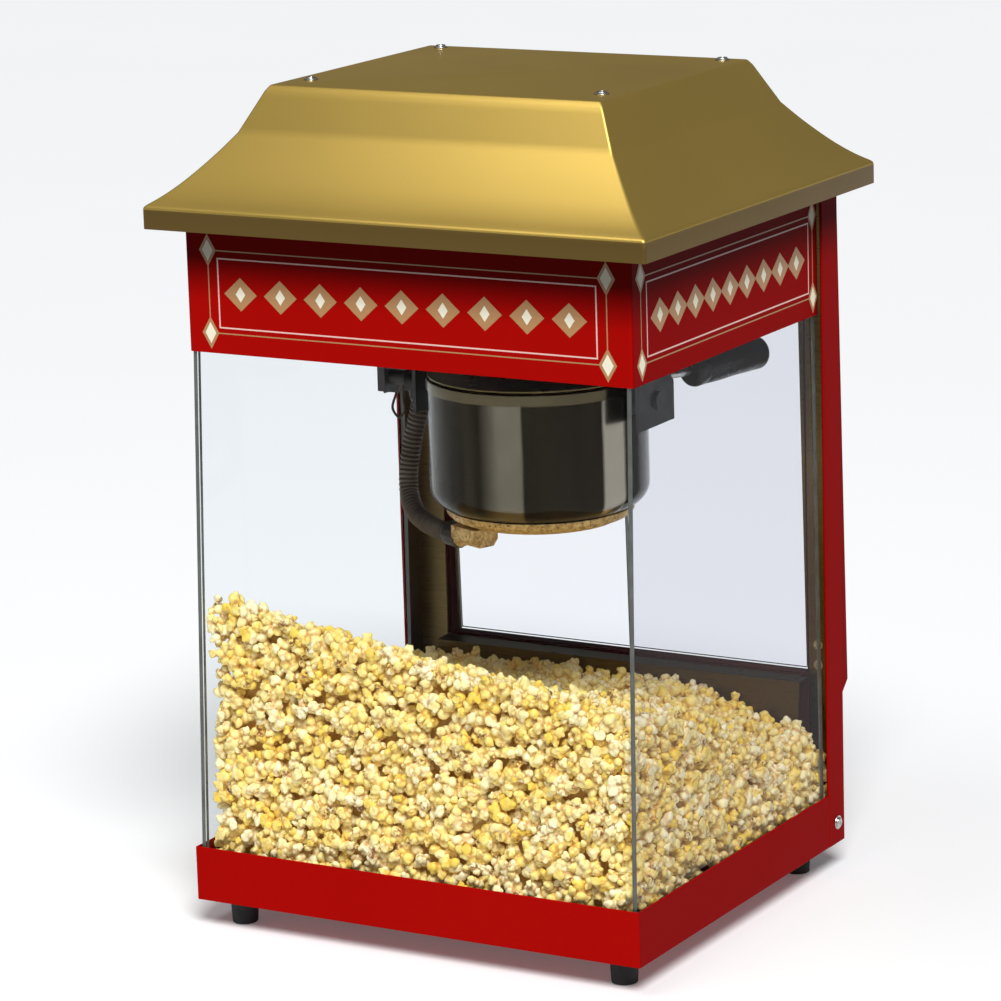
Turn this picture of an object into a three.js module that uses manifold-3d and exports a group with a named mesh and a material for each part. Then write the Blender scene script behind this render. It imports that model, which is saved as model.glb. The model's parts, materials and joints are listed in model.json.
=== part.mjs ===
// A countertop popcorn maker: a glazed cabinet on a tray base under a flared roof, with a tilting
// kettle hung inside it, side-hinged doors and a crumb drawer at the rear.
// Millimetres, +Z up, +X to the right as seen from the front, the front faces -Y.
// The origin is on the surface that the feet stand on, under the middle of the roof.
import * as THREE from "three";
import { mergeVertices } from "three/addons/utils/BufferGeometryUtils.js";
import Module from "manifold-3d";

const wasm = await Module();
wasm.setup();

// ---- driving dimensions -------------------------------------------------------------------------
const GAP = 0.3; // between pieces that touch
const END_GAP = 1.2; // between a bent tube's end and what it meets
const SHEET = 1.5; // sheet metal thickness
const PLATE = 2; // posts and base thickness

const FOOT = { radius: 13, taper: 1.5, height: 25, x: 197, front: -190, rear: 151 };
const BASE = { half: 228.5, front: -219.4, bottom: FOOT.height, top: 75.6 };
const POST = { front: 157.4, rear: 189.2, inner: 194.5, top: 668 };
const LINER_INNER = 196;
const FLOOR = { top: 58, rear: 149 };
const GLASS = { thick: 4.6, low: 60.6, high: 560, rear: 154.6 };
const GLASS_LOW = { half: 224.6, front: -215 }; // the panes lean in from the tray to the sign band
const GLASS_HIGH = { half: 221.1, front: -195.6 };
const SIGN = { half: 223.6, front: -198.6, bottom: 531.4, top: 668, corner: 3 };
const ROOF = { halfX: 251, halfY: 223.5, topX: 167.3, topY: 140.1, top: 764.2, eave: 663.2, lip: 643.7 };
// The slope from the top's edge to the eave, as a share of the run out and millimetres down: straight to
// a fold, then flaring.
const ROOF_SLOPE = [
  [0, 0],
  [0.25, 40.5],
  [0.4, 55.7],
  [0.55, 69.5],
  [0.7, 82],
  [0.85, 92.5],
  [1, 101],
];
const DECK = { bottom: 640, thick: SHEET };
const DOOR = {
  opening: 192, // half the width of the rear opening
  sill: 182,
  head: 531,
  pivotX: 189.4,
  thick: 4,
  tilt: THREE.MathUtils.degToRad(1.41), // the doors lean, so that they fall shut
};
const SURROUND = { half: 227, top: 640, bottom: 166, shoulder: 177, proudTop: 192, proudLow: 203.4 };
const LEDGE = { half: 195.5, rear: 184.6, rearZ: 180.5, front: 165, frontZ: 179.5, foot: 150, footZ: 59 };
const KETTLE = {
  x: 14.7,
  y: 5.6,
  axisZ: 475, // height of the trunnions
  radius: 100,
  wall: 2,
  bottom: 370,
  corner: 20,
  rim: 491.5,
  band: 9.5,
  bandOut: 1.5,
};
const PAN = { radius: 86, foot: 73, bottom: 357, wall: 1.5 };
const YOKE = { half: 23.5, legHalf: 16, thick: 3, clear: 0.6, bottom: 463, strapZ: 494 };
const TRUNNION = { radius: 8, bore: 8.5 };
const HANGER = { right: 133, left: -97.5, thick: 3.8, front: -28, rear: 39, bottom: 451.5 };
const LID = { radius: 99.5, hinge: 27, axisZ: 495, plateZ: 492.3, thick: 1.2, knuckle: 2.4 };
const MOTOR = { box: [60, 40, 26], radius: 19, height: 40 };
const GRIP = { radius: 16, length: 98 };
const DRAWER = { half: 128, front: -60, rear: 186.6, bottom: 28.5, top: 53 };
const SWITCH = { z: 600, pitch: 56, width: 15, height: 25, tilt: THREE.MathUtils.degToRad(9) };
const SCREW = { head: 4.8, shank: 2.5, height: 2.8 };
const COVER = { x: -24, y: -49, turn: THREE.MathUtils.degToRad(-22), length: 36, width: 26, height: 17 };
const COLLAR = { radius: 10.2, end: 28 }; // where the conduit enters the cover
const HEAP = { half: 216, front: -206, rear: 147 };
const HEAP_TOP = { frontLeft: 327, frontRight: 248, rearLeft: 172, rearRight: 144, fall: [-300, 100] };

// Middle lines of the conduit, from the elbow down and under the pot, and of the handle's rod.
const CONDUIT_ROUTE = [
  [-109.5, 5.6, 458],
  [-110.6, 5.6, 447],
  [-117.5, 3, 418],
  [-120.8, 0, 391],
  [-118.2, -5, 369],
  [-103.5, -18, 354],
  [-77, -29, 345.5],
  [-52.2, -37.6, 344],
];
const HANDLE_ROUTE = [
  [124.2, 18, 486],
  [124.2, 27, 488],
  [125.5, 36, 489.3],
  [130, 44.5, 490.2],
  [134.9, 50.6, 490.5],
  [138.5, 63.5, 490.6],
];

// ---- materials ----------------------------------------------------------------------------------
const paint = (color, roughness, metalness) =>
  new THREE.MeshStandardMaterial({ color, roughness, metalness });
const RED = paint(0x9c1010, 0.3, 0);
const GOLD = paint(0xb9984a, 0.35, 0.8);
const STAINLESS = paint(0x8f8878, 0.3, 1);
const DARK_STEEL = paint(0x34322f, 0.5, 0.8);
const KETTLE_STEEL = paint(0x5a5348, 0.25, 1);
const PAN_STEEL = paint(0xa98c46, 0.5, 0.7);
const ZINC = paint(0xb8b8b4, 0.35, 1);
const RUBBER = paint(0x141414, 0.8, 0);
const BLACK_PLASTIC = paint(0x120d0b, 0.45, 0);
const CONDUIT_PLASTIC = paint(0x28221c, 0.6, 0);
const CLEAR = paint(0xe6f0ee, 0.05, 0);
CLEAR.transparent = true;
CLEAR.opacity = 0.25;
const WARM_GLASS = paint(0xfff2cf, 0.2, 0);
const CORN = paint(0xecdfa6, 0.9, 0);

// ---- solids -------------------------------------------------------------------------------------
function toSolid(geometry) {
  const bare = geometry.clone();
  bare.deleteAttribute("normal");
  bare.deleteAttribute("uv");
  const merged = mergeVertices(bare, 1e-4);
  return new wasm.Manifold(
    new wasm.Mesh({
      numProp: 3,
      vertProperties: merged.attributes.position.array,
      triVerts: new Uint32Array(merged.index.array),
    }),
  );
}

function toGeometry(solid) {
  const mesh = solid.getMesh();
  const geometry = new THREE.BufferGeometry();
  geometry.setAttribute("position", new THREE.BufferAttribute(mesh.vertProperties, 3));
  geometry.setIndex(new THREE.BufferAttribute(mesh.triVerts, 1));
  geometry.computeVertexNormals();
  return geometry;
}

const join = (...pieces) => toGeometry(pieces.map(toSolid).reduce((a, b) => a.add(b)));

const cut = (piece, ...tools) =>
  toGeometry(tools.map(toSolid).reduce((a, b) => a.subtract(b), toSolid(piece)));

const common = (a, b) => toGeometry(toSolid(a).intersect(toSolid(b)));

// A block between two corners.
function block([x0, x1], [y0, y1], [z0, z1]) {
  return new THREE.BoxGeometry(x1 - x0, y1 - y0, z1 - z0).translate(
    (x0 + x1) / 2,
    (y0 + y1) / 2,
    (z0 + z1) / 2,
  );
}

// A round rod from one point along +X, +Y or +Z.
function rod(axis, radius, length, [x, y, z], sides = 20) {
  const shape = new THREE.CylinderGeometry(radius, radius, length, sides);
  if (axis === "x") shape.rotateZ(-Math.PI / 2);
  if (axis === "z") shape.rotateX(Math.PI / 2);
  const middle = { x: [length / 2, 0, 0], y: [0, length / 2, 0], z: [0, 0, length / 2] }[axis];
  return shape.translate(x + middle[0], y + middle[1], z + middle[2]);
}

// A solid of revolution about +Z: pairs of radius and height, anticlockwise from the axis.
function turned(profile, sides = 32) {
  const points = profile.map(([r, z]) => new THREE.Vector2(r, z));
  return new THREE.LatheGeometry(points, sides).rotateX(Math.PI / 2);
}

function outline(points) {
  return new THREE.Shape(points.map(([a, b]) => new THREE.Vector2(a, b)));
}

// An outline in the XY plane, raised from z0 to z1.
function raised(shape, z0, z1, curveSegments = 6) {
  const solid = new THREE.ExtrudeGeometry(shape, { depth: z1 - z0, bevelEnabled: false, curveSegments });
  return solid.translate(0, 0, z0);
}

// An outline in the YZ plane, drawn out from x0 to x1.
function drawnAcross(points, x0, x1) {
  const solid = new THREE.ExtrudeGeometry(outline(points), { depth: x1 - x0, bevelEnabled: false });
  const toYZ = new THREE.Matrix4().set(0, 0, 1, x0, 1, 0, 0, 0, 0, 1, 0, 0, 0, 0, 0, 1);
  return solid.applyMatrix4(toYZ);
}

// A round tube along a smooth curve through the points.
function tube(points, radius, steps, sides = 10) {
  const path = new THREE.CatmullRomCurve3(points.map((p) => new THREE.Vector3(...p)));
  const section = new THREE.Shape();
  section.absarc(0, 0, radius, 0, 2 * Math.PI);
  return new THREE.ExtrudeGeometry(section, {
    steps,
    extrudePath: path,
    curveSegments: sides / 2, // a full circle gets twice as many
    bevelEnabled: false,
  });
}

// One level of a four-sided solid.
function rectangle([x0, x1], [y0, y1], z) {
  return [
    [x0, y0, z],
    [x1, y0, z],
    [x1, y1, z],
    [x0, y1, z],
  ];
}

// A closed solid of four-sided levels, the highest first.
function stacked(levels) {
  const positions = levels.flat(2);
  const index = [];
  levels.slice(1).forEach((_, level) => {
    for (let side = 0; side < 4; side += 1) {
      const next = (side + 1) % 4;
      const [a, b] = [level * 4 + side, level * 4 + next];
      index.push(a, a + 4, b, b, a + 4, b + 4);
    }
  });
  const last = (levels.length - 1) * 4;
  index.push(0, 1, 2, 0, 2, 3);
  index.push(last, last + 2, last + 1, last, last + 3, last + 2);
  const geometry = new THREE.BufferGeometry();
  geometry.setAttribute("position", new THREE.BufferAttribute(new Float32Array(positions), 3));
  geometry.setIndex(index);
  return geometry;
}

const popcornMaker = new THREE.Group();

function add(name, geometry, material, parent = popcornMaker) {
  const mesh = new THREE.Mesh(geometry, material);
  mesh.name = name;
  parent.add(mesh);
  return mesh;
}

const SIDES = [
  ["left", -1],
  ["right", 1],
];

// A block given for the right side, put on the side named by sign.
function sided(sign, [x0, x1], ys, zs) {
  return block(sign > 0 ? [x0, x1] : [-x1, -x0], ys, zs);
}

// ---- base ---------------------------------------------------------------------------------------
function baseTray() {
  const inset = BASE.half - PLATE - GAP; // behind the posts the tray is narrower
  const wide = [BASE.front, POST.front - GAP];
  const narrow = [BASE.front, POST.rear - PLATE - GAP];
  const heights = [BASE.bottom, BASE.top];
  const outer = join(
    block([-BASE.half, BASE.half], wide, heights),
    block([-inset, inset], narrow, heights),
  );
  const hollow = [BASE.bottom + PLATE, BASE.top + 1];
  const inner = join(
    block([PLATE - BASE.half, BASE.half - PLATE], [wide[0] + PLATE, wide[1] - PLATE], hollow),
    block([PLATE - inset, inset - PLATE], [narrow[0] + PLATE, narrow[1] - PLATE], hollow),
  );
  const drawerSlot = block(
    [-DRAWER.half - 1, DRAWER.half + 1],
    [narrow[1] - 2 * PLATE, narrow[1] + 1],
    [BASE.bottom + PLATE, DRAWER.top + 1],
  );
  return cut(outer, inner, drawerSlot);
}

function foot() {
  const { radius, taper, height } = FOOT;
  const top = height - GAP;
  return turned([[0, 0], [radius - taper, 0], [radius - taper + 0.6, 1], [radius, top], [0, top]], 20);
}

// The floor that the popcorn lies on: a pan turned over, slotted above the crumb drawer.
function cabinetFloor() {
  const half = BASE.half - PLATE - 0.5;
  const front = BASE.front + PLATE + 0.5;
  const low = BASE.bottom + PLATE + GAP;
  const pan = block([-half, half], [front, FLOOR.rear], [low, FLOOR.top]);
  const under = block(
    [SHEET - half, half - SHEET],
    [front + SHEET, FLOOR.rear + 1],
    [low - 1, FLOOR.top - SHEET],
  );
  const slots = [];
  for (let row = 0; row < 3; row += 1)
    for (let column = -2; column <= 2; column += 1)
      slots.push(
        block(
          [column * 44 - 16, column * 44 + 16],
          [row * 60 - 30, row * 60 - 24],
          [FLOOR.top - 2 * SHEET, FLOOR.top + 1],
        ),
      );
  return cut(pan, under, ...slots);
}

function crumbDrawer() {
  const { half, front, rear, bottom, top } = DRAWER;
  const box = block([-half, half], [front, rear], [bottom, top]);
  const inside = block([SHEET - half, half - SHEET], [front + SHEET, rear - SHEET], [bottom + SHEET, top + 1]);
  const pull = block([-45, 45], [rear - 0.5, rear + 14], [top - 6, top - 6 + SHEET]);
  const pullLip = block([-45, 45], [rear + 14 - SHEET, rear + 14], [top - 13, top - 5]);
  return join(cut(box, inside), pull, pullLip);
}

// The angle that the glass stands in: a flat strip with an inner lip, round three sides.
function glazingChannel() {
  const half = GLASS_LOW.half + 1.5;
  const front = GLASS_LOW.front - 1.5;
  const rear = FLOOR.rear - 1;
  const low = FLOOR.top + GAP;
  const strip = 8;
  const ring = (inset, z0, z1, width) =>
    cut(
      block([inset - half, half - inset], [front + inset, rear], [z0, z1]),
      block([inset + width - half, half - inset - width], [front + inset + width, rear + 1], [z0 - 1, z1 + 1]),
    );
  return join(ring(0, low, low + SHEET, strip), ring(strip - SHEET, low, low + 12, SHEET));
}

add("base_tray", baseTray(), RED);
for (const [side, sign] of SIDES) {
  for (const end of ["front", "rear"])
    add(`foot_${end}_${side}`, foot(), RUBBER).position.set(sign * FOOT.x, FOOT[end], 0);
}
add("cabinet_floor", cabinetFloor(), DARK_STEEL);
add("crumb_drawer", crumbDrawer(), STAINLESS);
add("glazing_channel", glazingChannel(), DARK_STEEL);

// ---- glass --------------------------------------------------------------------------------------
// The front pane stands between the ends of the two side panes.
function frontPane() {
  const level = ({ half, front }, z) => {
    const reach = half - GLASS.thick - GAP;
    return rectangle([-reach, reach], [front, front + GLASS.thick], z);
  };
  return stacked([level(GLASS_HIGH, GLASS.high), level(GLASS_LOW, GLASS.low)]);
}

function sidePane(sign) {
  const level = ({ half, front }, z) => {
    const edges = [sign * half, sign * (half - GLASS.thick)];
    return rectangle([Math.min(...edges), Math.max(...edges)], [front, GLASS.rear], z);
  };
  return stacked([level(GLASS_HIGH, GLASS.high), level(GLASS_LOW, GLASS.low)]);
}

add("glass_front", frontPane(), CLEAR);
for (const [side, sign] of SIDES) add(`glass_${side}`, sidePane(sign), CLEAR);

// ---- rear frame ---------------------------------------------------------------------------------
function post(sign) {
  const heights = [BASE.bottom, POST.top];
  return join(
    sided(sign, [BASE.half - PLATE, BASE.half], [POST.front, POST.rear], heights),
    sided(sign, [POST.inner, BASE.half], [POST.rear - PLATE, POST.rear], heights),
    sided(sign, [GLASS_LOW.half + 1.2, BASE.half], [POST.front, POST.front + PLATE], [BASE.top + 1, POST.top]),
  );
}

function postLiner(sign) {
  const outer = BASE.half - PLATE - GAP;
  const rear = POST.rear - PLATE - GAP;
  const heights = [BASE.top + 2, DECK.bottom - 2];
  return join(
    sided(sign, [LINER_INNER, outer], [rear - SHEET, rear], heights),
    sided(sign, [outer - SHEET, outer], [POST.front + PLATE + GAP, rear], heights),
  );
}

// The slanted frame round the door opening: a shell that is open towards the posts.
function doorSurround() {
  const face = POST.rear + GAP;
  const { half, top, bottom, shoulder, proudTop, proudLow } = SURROUND;
  const section = [[face, bottom], [face + 2, bottom], [proudLow, shoulder], [proudTop, top], [face, top]];
  const hollow = [
    [face - 1, bottom + SHEET],
    [face + 1.4, bottom + SHEET],
    [proudLow - SHEET, shoulder + SHEET],
    [proudTop - SHEET, top - SHEET],
    [face - 1, top - SHEET],
  ];
  const opening = (grow) =>
    block(
      [-DOOR.opening - grow, DOOR.opening + grow],
      [face - 5, proudLow + 5],
      [DOOR.sill - grow, DOOR.head + grow],
    );
  const shell = cut(drawnAcross(section, -half, half), drawnAcross(hollow, SHEET - half, half - SHEET));
  const jamb = common(opening(SHEET), drawnAcross(section, -half, half));
  return cut(join(shell, jamb), opening(0));
}

function rearLedge() {
  const { rear, rearZ, front, frontZ, foot: toe, footZ } = LEDGE;
  return drawnAcross(
    [
      [rear, rearZ],
      [front, frontZ],
      [toe, footZ],
      [toe + SHEET, footZ],
      [front + SHEET, frontZ - SHEET],
      [rear, rearZ - SHEET],
    ],
    -LEDGE.half,
    LEDGE.half,
  );
}

// The two flat panels that close the rear above and below the door opening.
function rearPanel(low, high, half) {
  const rear = POST.rear - PLATE - GAP;
  return block([-half, half], [rear - PLATE, rear], [low, high]);
}

const PANEL_HALF = LINER_INNER - 0.5;
const INLET = { x: 150, z: 600, width: 30, height: 22, depth: 24 };

function controlPanel() {
  const panel = rearPanel(DOOR.head + 3, POST.top - 6, PANEL_HALF);
  const rear = POST.rear;
  const window = block(
    [-SWITCH.pitch - 13, SWITCH.pitch + 13],
    [rear - 10, rear + 5],
    [SWITCH.z - 18, SWITCH.z + 18],
  );
  const inletHole = block(
    [INLET.x - INLET.width / 2 - 1, INLET.x + INLET.width / 2 + 1],
    [rear - 10, rear + 5],
    [INLET.z - INLET.height / 2 - 1, INLET.z + INLET.height / 2 + 1],
  );
  return cut(panel, window, inletHole);
}

// The surround is cut away where the switch plate and the inlet come through it.
function surroundWithControls() {
  const window = block([-SWITCH.pitch - 22, SWITCH.pitch + 22], [180, 210], [SWITCH.z - 27, SWITCH.z + 27]);
  const inletHole = block([INLET.x - 21, INLET.x + 21], [180, 210], [INLET.z - 17, INLET.z + 17]);
  return cut(doorSurround(), window, inletHole);
}

// One plate with three windows, which the rocker switches sit in.
function switchBezel() {
  const face = POST.rear - PLATE; // outer face of the control panel
  const plate = block(
    [-SWITCH.pitch - 20, SWITCH.pitch + 20],
    [face, face + 3],
    [SWITCH.z - 25, SWITCH.z + 25],
  );
  const windows = [-1, 0, 1].map((i) =>
    block(
      [i * SWITCH.pitch - SWITCH.width / 2 - 0.8, i * SWITCH.pitch + SWITCH.width / 2 + 0.8],
      [face - 5, face + 8],
      [SWITCH.z - SWITCH.height / 2 - 1, SWITCH.z + SWITCH.height / 2 + 1],
    ),
  );
  return cut(plate, ...windows);
}

function mainsInlet() {
  const { x, z, width, height, depth } = INLET;
  const face = POST.rear - PLATE;
  const body = block(
    [x - width / 2, x + width / 2],
    [face - depth, face + 1],
    [z - height / 2, z + height / 2],
  );
  const flange = block([x - 20, x + 20], [face, face + 2.5], [z - 16, z + 16]);
  const recess = block([x - 12, x + 12], [face - 16, face + 5], [z - 8, z + 8]);
  return cut(join(body, flange), recess);
}

for (const [side, sign] of SIDES) {
  add(`post_${side}`, post(sign), RED);
  add(`post_liner_${side}`, postLiner(sign), STAINLESS);
}
add("rear_lower_panel", rearPanel(BASE.top + GAP, DOOR.sill - 0.5, PANEL_HALF), RED);
add("rear_control_panel", controlPanel(), RED);
add("door_surround", surroundWithControls(), RED);
add("rear_ledge", rearLedge(), STAINLESS);
add("switch_bezel", switchBezel(), BLACK_PLASTIC);
add("mains_inlet", mainsInlet(), BLACK_PLASTIC);

["motor", "heat", "light"].forEach((use, i) => {
  const rocker = add(`rocker_${use}`, new THREE.BoxGeometry(SWITCH.width, 9, SWITCH.height), BLACK_PLASTIC);
  rocker.position.set((i - 1) * SWITCH.pitch, POST.rear - PLATE + 1, SWITCH.z);
  rocker.rotation.x = SWITCH.tilt;
});

// ---- doors --------------------------------------------------------------------------------------
// Each door is drawn upright in a group that leans with the surround, with its pivot line at y = 0.
const doors = new THREE.Group();
doors.position.set(0, SURROUND.proudLow - 4.2, SURROUND.shoulder);
doors.rotation.x = DOOR.tilt;
popcornMaker.add(doors);

const doorLow = DOOR.sill - SURROUND.shoulder + 3;
const doorHigh = DOOR.head - SURROUND.shoulder - 3;
const rail = { width: 3, beyondPivot: 1.5 };
const knobHeight = 252;

// The channel on a door's hinged edge, with a pin at each end on the pivot line.
function doorRail(sign) {
  const outer = DOOR.pivotX + rail.beyondPivot;
  const thickness = [-DOOR.thick / 2, DOOR.thick / 2];
  const channel = sided(sign, [outer - rail.width, outer], thickness, [doorLow + 4, doorHigh - 4]);
  const pinLength = doorHigh - doorLow + 4;
  return join(channel, rod("z", 1.4, pinLength, [sign * DOOR.pivotX, 0, doorLow - 2], 10));
}

function doorKnob(sign) {
  const knob = turned([[0, 0], [5, 0], [5, 6], [8, 9], [8, 13], [6, 15.5], [0, 16]], 20);
  knob.rotateX(-Math.PI / 2);
  return knob.translate(sign * 24, DOOR.thick / 2 + GAP, knobHeight);
}

for (const [side, sign] of SIDES) {
  const pane = sided(
    sign,
    [0.8, DOOR.pivotX + rail.beyondPivot - rail.width - GAP],
    [-DOOR.thick / 2, DOOR.thick / 2],
    [doorLow, doorHigh],
  );
  add(`door_${side}_pane`, pane, CLEAR, doors);
  add(`door_${side}_rail`, doorRail(sign), STAINLESS, doors);
  add(`door_${side}_knob`, doorKnob(sign), BLACK_PLASTIC, doors);
}

// ---- sign band, deck and roof -------------------------------------------------------------------
// One sheet bent round the front and both sides.
function signBand() {
  const bent = (half, front, corner, rear) => {
    const shape = new THREE.Shape();
    shape.moveTo(-half, rear);
    shape.lineTo(-half, front + corner);
    shape.absarc(-half + corner, front + corner, corner, Math.PI, 1.5 * Math.PI);
    shape.lineTo(half - corner, front);
    shape.absarc(half - corner, front + corner, corner, -0.5 * Math.PI, 0);
    shape.lineTo(half, rear);
    return shape;
  };
  const { half, front, bottom, top, corner } = SIGN;
  const rear = POST.front - GAP;
  return cut(
    raised(bent(half, front, corner, rear), bottom, top, 5),
    raised(bent(half - SHEET, front + SHEET, corner - SHEET, rear + 1), bottom - 1, top + 1, 5),
  );
}

const SCREW_PLACES = [
  [-147, -101],
  [-147, 126],
  [147, -101],
  [147, 126],
];

// The levels of the roof, moved inwards by inset.
function roofLevels(inset, topZ, lipZ) {
  const levels = ROOF_SLOPE.map(([share, down]) => {
    const halfX = ROOF.topX + share * (ROOF.halfX - ROOF.topX) - inset;
    const halfY = ROOF.topY + share * (ROOF.halfY - ROOF.topY) - inset;
    return rectangle([-halfX, halfX], [-halfY, halfY], topZ - down);
  });
  const [lipX, lipY] = [ROOF.halfX - inset, ROOF.halfY - inset];
  levels.push(rectangle([-lipX, lipX], [-lipY, lipY], lipZ));
  return levels;
}

function roofShell() {
  const shell = cut(
    stacked(roofLevels(0, ROOF.top, ROOF.lip)),
    stacked(roofLevels(SHEET, ROOF.top - SHEET, ROOF.lip - 1)),
  );
  const holes = SCREW_PLACES.map(([x, y]) => rod("z", SCREW.shank + 0.5, 10, [x, y, ROOF.top - 5], 12));
  return cut(shell, ...holes);
}

// Two bent straps on the deck and a strip between them, which the roof is screwed to.
function roofFrame() {
  const high = ROOF.top - SHEET - GAP;
  const low = DECK.bottom + DECK.thick + GAP;
  const [near, far] = [-113, 138];
  const pieces = [block([-140, 140], [0, 24], [high - PLATE, high])];
  for (const x of [-147, 147]) {
    const widths = [x - 12, x + 12];
    pieces.push(block(widths, [near, far], [high - PLATE, high]));
    pieces.push(block(widths, [near, near + PLATE], [low, high]));
    pieces.push(block(widths, [far - PLATE, far], [low, high]));
  }
  const holes = SCREW_PLACES.map(([x, y]) => rod("z", SCREW.shank + 0.5, 10, [x, y, high - 6], 12));
  return cut(join(...pieces), ...holes);
}

// A pan head on a short shank, its seat at z = 0.
function screw(length) {
  const { head, shank, height } = SCREW;
  return turned(
    [[0, -length], [shank, -length], [shank, 0], [head, 0], [head, 1.2], [head - 1.4, height], [0, height]],
    12,
  );
}

add("sign_band", signBand(), RED);
add(
  "ceiling_deck",
  block(
    [5 - SIGN.half, SIGN.half - 5],
    [SIGN.front + SHEET + 1.5, POST.rear - 2 * PLATE - 1],
    [DECK.bottom, DECK.bottom + DECK.thick],
  ),
  STAINLESS,
);
add("roof_frame", roofFrame(), ZINC);
add("roof_shell", roofShell(), GOLD);
SCREW_PLACES.forEach(([x, y], i) =>
  add(`roof_screw_${i + 1}`, screw(10), ZINC).position.set(x, y, ROOF.top + GAP),
);
for (const [side, sign] of SIDES) {
  const fastener = add(`post_screw_${side}`, screw(1).rotateY((sign * Math.PI) / 2), ZINC);
  fastener.position.set(sign * (BASE.half + 1 + GAP), 175, 45);
}

// ---- kettle hangers, junction box and lamp ------------------------------------------------------
// A plate that the kettle turns in. Its neck is cranked forward, out of the way of the handle.
function hanger(x) {
  const { front, rear, bottom, thick } = HANGER;
  const top = DECK.bottom - GAP;
  const neck = { rear: -34, front: -74 };
  const shoulder = KETTLE.axisZ + 20;
  const plate = drawnAcross(
    [
      [front, bottom],
      [rear, bottom],
      [rear, shoulder - 8],
      [rear - 8, shoulder],
      [neck.rear, shoulder + 8],
      [neck.rear, top],
      [neck.front, top],
      [neck.front, shoulder + 26],
      [front, shoulder],
    ],
    x,
    x + thick,
  );
  const flange = block([x - 18, x + thick], [neck.front, neck.rear], [top - 3, top]);
  const bore = rod("x", TRUNNION.bore, thick + 4, [x - 2, KETTLE.y, KETTLE.axisZ], 24);
  return cut(join(plate, flange), bore);
}

// The box that feeds the kettle, with a turning connector on the kettle's axis.
function junctionBox() {
  const xs = [-161, -139];
  const box = block(xs, [15, 62], [458, DECK.bottom - GAP]);
  const ear = block([xs[1] - 2, xs[1]], [KETTLE.y - 13, 20], [KETTLE.axisZ - 13, KETTLE.axisZ + 13]);
  const connector = rod("x", 7, 20.2, [xs[1] - 1, KETTLE.y, KETTLE.axisZ], 16);
  return join(box, ear, connector);
}

const LAMP = { x: -150, y: 112 };

function lampBulb() {
  const top = DECK.bottom - 26;
  return turned(
    [
      [0, top - 62],
      [12, top - 60],
      [22, top - 50],
      [25, top - 38],
      [22, top - 24],
      [14, top - 10],
      [12.5, top - GAP],
      [0, top - GAP],
    ],
    20,
  );
}

add("hanger_left", hanger(HANGER.left), DARK_STEEL);
add("hanger_right", hanger(HANGER.right), DARK_STEEL);
add("junction_box", junctionBox(), DARK_STEEL);
add("lamp_socket", rod("z", 18, 26 - GAP, [0, 0, DECK.bottom - 26], 20), BLACK_PLASTIC).position.set(
  LAMP.x,
  LAMP.y,
  0,
);
add("lamp_bulb", lampBulb(), WARM_GLASS).position.set(LAMP.x, LAMP.y, 0);

// ---- kettle -------------------------------------------------------------------------------------
// The kettle is drawn about its own middle line.
const kettle = new THREE.Group();
kettle.position.set(KETTLE.x, KETTLE.y, 0);
popcornMaker.add(kettle);

// Points of a quarter circle from angle to angle, about (r, z).
function arc(r, z, radius, from, to, steps) {
  const points = [];
  for (let i = 0; i <= steps; i += 1) {
    const angle = THREE.MathUtils.degToRad(from + ((to - from) * i) / steps);
    points.push([r + radius * Math.cos(angle), z + radius * Math.sin(angle)]);
  }
  return points;
}

function kettlePot() {
  const { radius, wall, bottom, corner, rim, band, bandOut } = KETTLE;
  const centre = [radius - corner, bottom + corner];
  return turned(
    [
      [0, bottom],
      ...arc(...centre, corner, -90, 0, 4),
      [radius, rim - band - bandOut],
      [radius + bandOut, rim - band],
      [radius + bandOut, rim],
      [radius - wall, rim],
      ...arc(...centre, corner - wall, 0, -90, 4),
      [0, bottom + wall],
    ],
    36,
  );
}

function kettlePan() {
  const { radius, foot: toe, bottom, wall } = PAN;
  const top = KETTLE.bottom - GAP;
  return turned(
    [
      [0, bottom],
      [toe, bottom],
      [radius - 3, bottom + 5],
      [radius, top],
      [radius - wall, top],
      [radius - 3 - wall, bottom + 5 + wall],
      [toe - wall, bottom + wall],
      [0, bottom + wall],
    ],
    36,
  );
}

// A sheathed ring between the pot and the pan.
function heatingElement() {
  const ring = arc(62, (PAN.bottom + PAN.wall + KETTLE.bottom) / 2, 4, 0, 315, 7);
  return turned([...ring, ring[0]], 24);
}

// The strap over the pot, with a leg down each side and the trunnions on the legs.
function kettleYoke() {
  const { half, legHalf, thick, clear, bottom, strapZ } = YOKE;
  const reach = KETTLE.radius + KETTLE.bandOut + clear;
  const top = strapZ + thick;
  const parts = [
    block([-reach - thick, reach + thick], [-half, half], [strapZ, top]),
    block([-reach - thick, -reach], [-legHalf, legHalf], [bottom, top]),
    block([reach, reach + thick], [-legHalf, legHalf], [bottom, top]),
  ];
  const leftEnd = HANGER.left - 0.6 - KETTLE.x;
  const rightEnd = HANGER.right + HANGER.thick + 4 - KETTLE.x;
  parts.push(rod("x", TRUNNION.radius, -reach - 1 - leftEnd, [leftEnd, 0, KETTLE.axisZ], 24));
  parts.push(rod("x", TRUNNION.radius, rightEnd - reach - 1, [reach + 1, 0, KETTLE.axisZ], 24));
  return cut(join(...parts), rod("z", 6, 20, [0, 0, strapZ - 8], 16));
}

// Half a disc on one side of the strap, with its hinge knuckle.
function kettleLid(sign) {
  const { radius, hinge, axisZ, plateZ, thick, knuckle } = LID;
  const disc = rod("z", radius, thick, [0, 0, plateZ], 48);
  const near = hinge - 1.5;
  const keep = block([-110, 110], sign > 0 ? [near, 110] : [-110, -near], [plateZ - 5, plateZ + 5]);
  const barrel = rod("x", knuckle, 130, [-65, sign * hinge, axisZ], 10);
  return join(common(disc, keep), barrel);
}

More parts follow.
